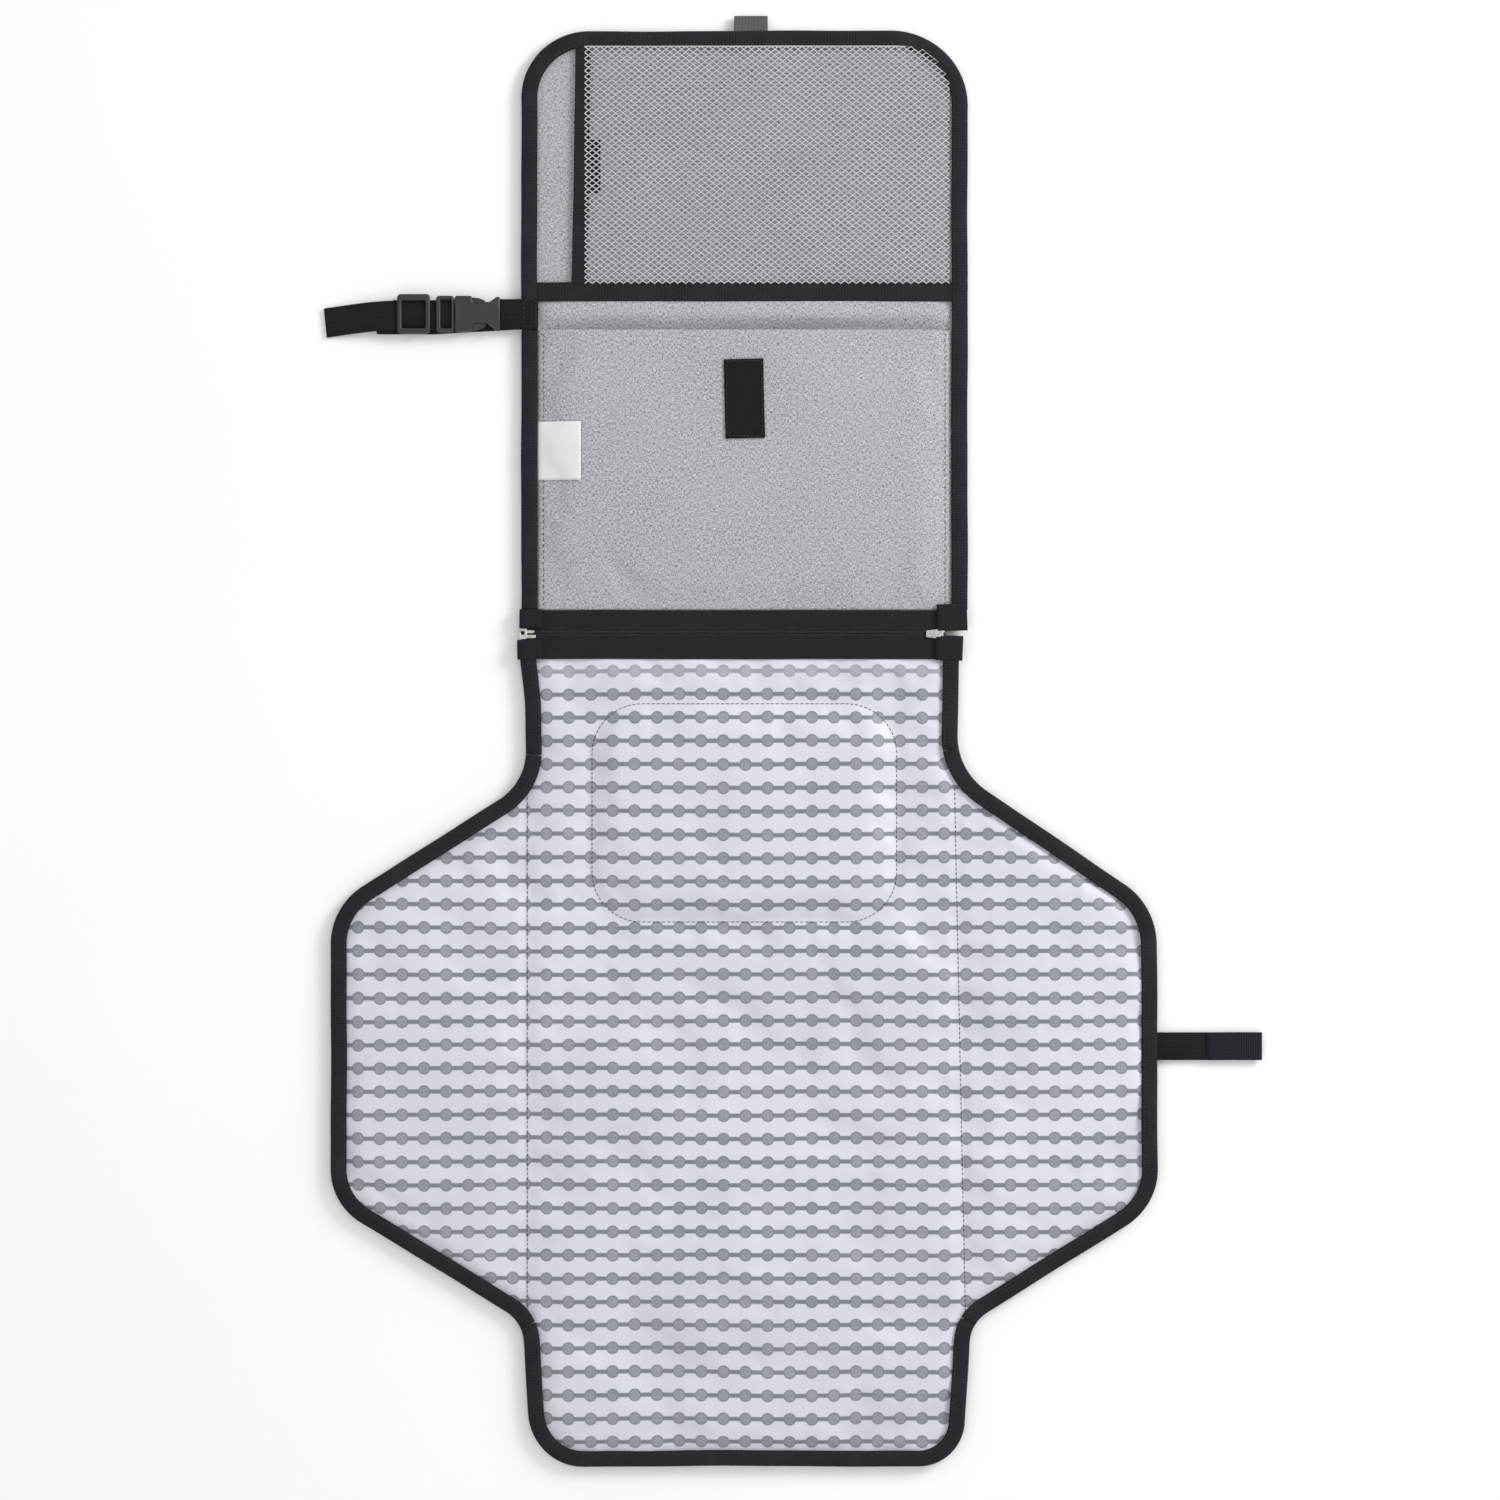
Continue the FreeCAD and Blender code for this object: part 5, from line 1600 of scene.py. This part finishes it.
# %% Floor
floor_finish = Finish("floor", Roughness=0.9)
floor_finish.colour(floor_finish.mix(floor_finish.noise(3), (0.93, 0.93, 0.94, 1),
                                     (0.96, 0.96, 0.96, 1)))
FLOOR_HALF, FLOOR_Z = 6, -0.0002
floor = piece("floor", [(x * FLOOR_HALF, y * FLOOR_HALF, FLOOR_Z)
              for x, y in ((-1, -1), (1, -1), (1, 1), (-1, 1))], [(0, 1, 2, 3)],
              floor_finish.material)
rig.stage(floor)
print("floor is", 2 * FLOOR_HALF, "metres wide")

# %% Light
world = bpy.data.worlds.new("studio")
bpy.context.scene.world = world
world.use_nodes = True
world.node_tree.nodes["Background"].inputs[0].default_value = (1.0, 1.0, 1.0, 1)
world.node_tree.nodes["Background"].inputs[1].default_value = 0.80


def softbox(name, place, size, power):
    """A square soft light that faces the middle of the pad."""
    lamp = bpy.data.lights.new(name, "AREA")
    lamp.size, lamp.energy = size, power
    holder = bpy.data.objects.new(name, lamp)
    bpy.context.scene.collection.objects.link(holder)
    holder.location = place
    aim = Vector((0, 0.2, 0)) - Vector(place)
    holder.rotation_euler = aim.to_track_quat("-Z", "Y").to_euler()


softbox("key", (1.9, 1.4, 1.2), 0.9, 40)
softbox("fill", (-1.2, -0.6, 2.4), 1.6, 3)
bpy.context.scene.view_settings.view_transform = "Standard"
print("two soft lights and a pale surround")

# %% Camera
LENS, SENSOR = 100.0, 36.0
VIEW_WIDE = 1.026
camera_data = bpy.data.cameras.new("camera")
camera_data.lens, camera_data.sensor_width = LENS, SENSOR
camera = bpy.data.objects.new("camera", camera_data)
bpy.context.scene.collection.objects.link(camera)
camera.location = (3.8 * MM, 213.4 * MM, VIEW_WIDE * LENS / SENSOR)
bpy.context.scene.camera = camera
print("camera is", round(camera.location.z, 2), "metres up")

low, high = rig.bounds()
with open("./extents.json", "w") as out:
    json.dump({"cad": [list(cad_low), list(cad_high)], "visual": [list(low), list(high)]}, out)
print("visual is", [round(v, 3) for v in high - low], "metres")
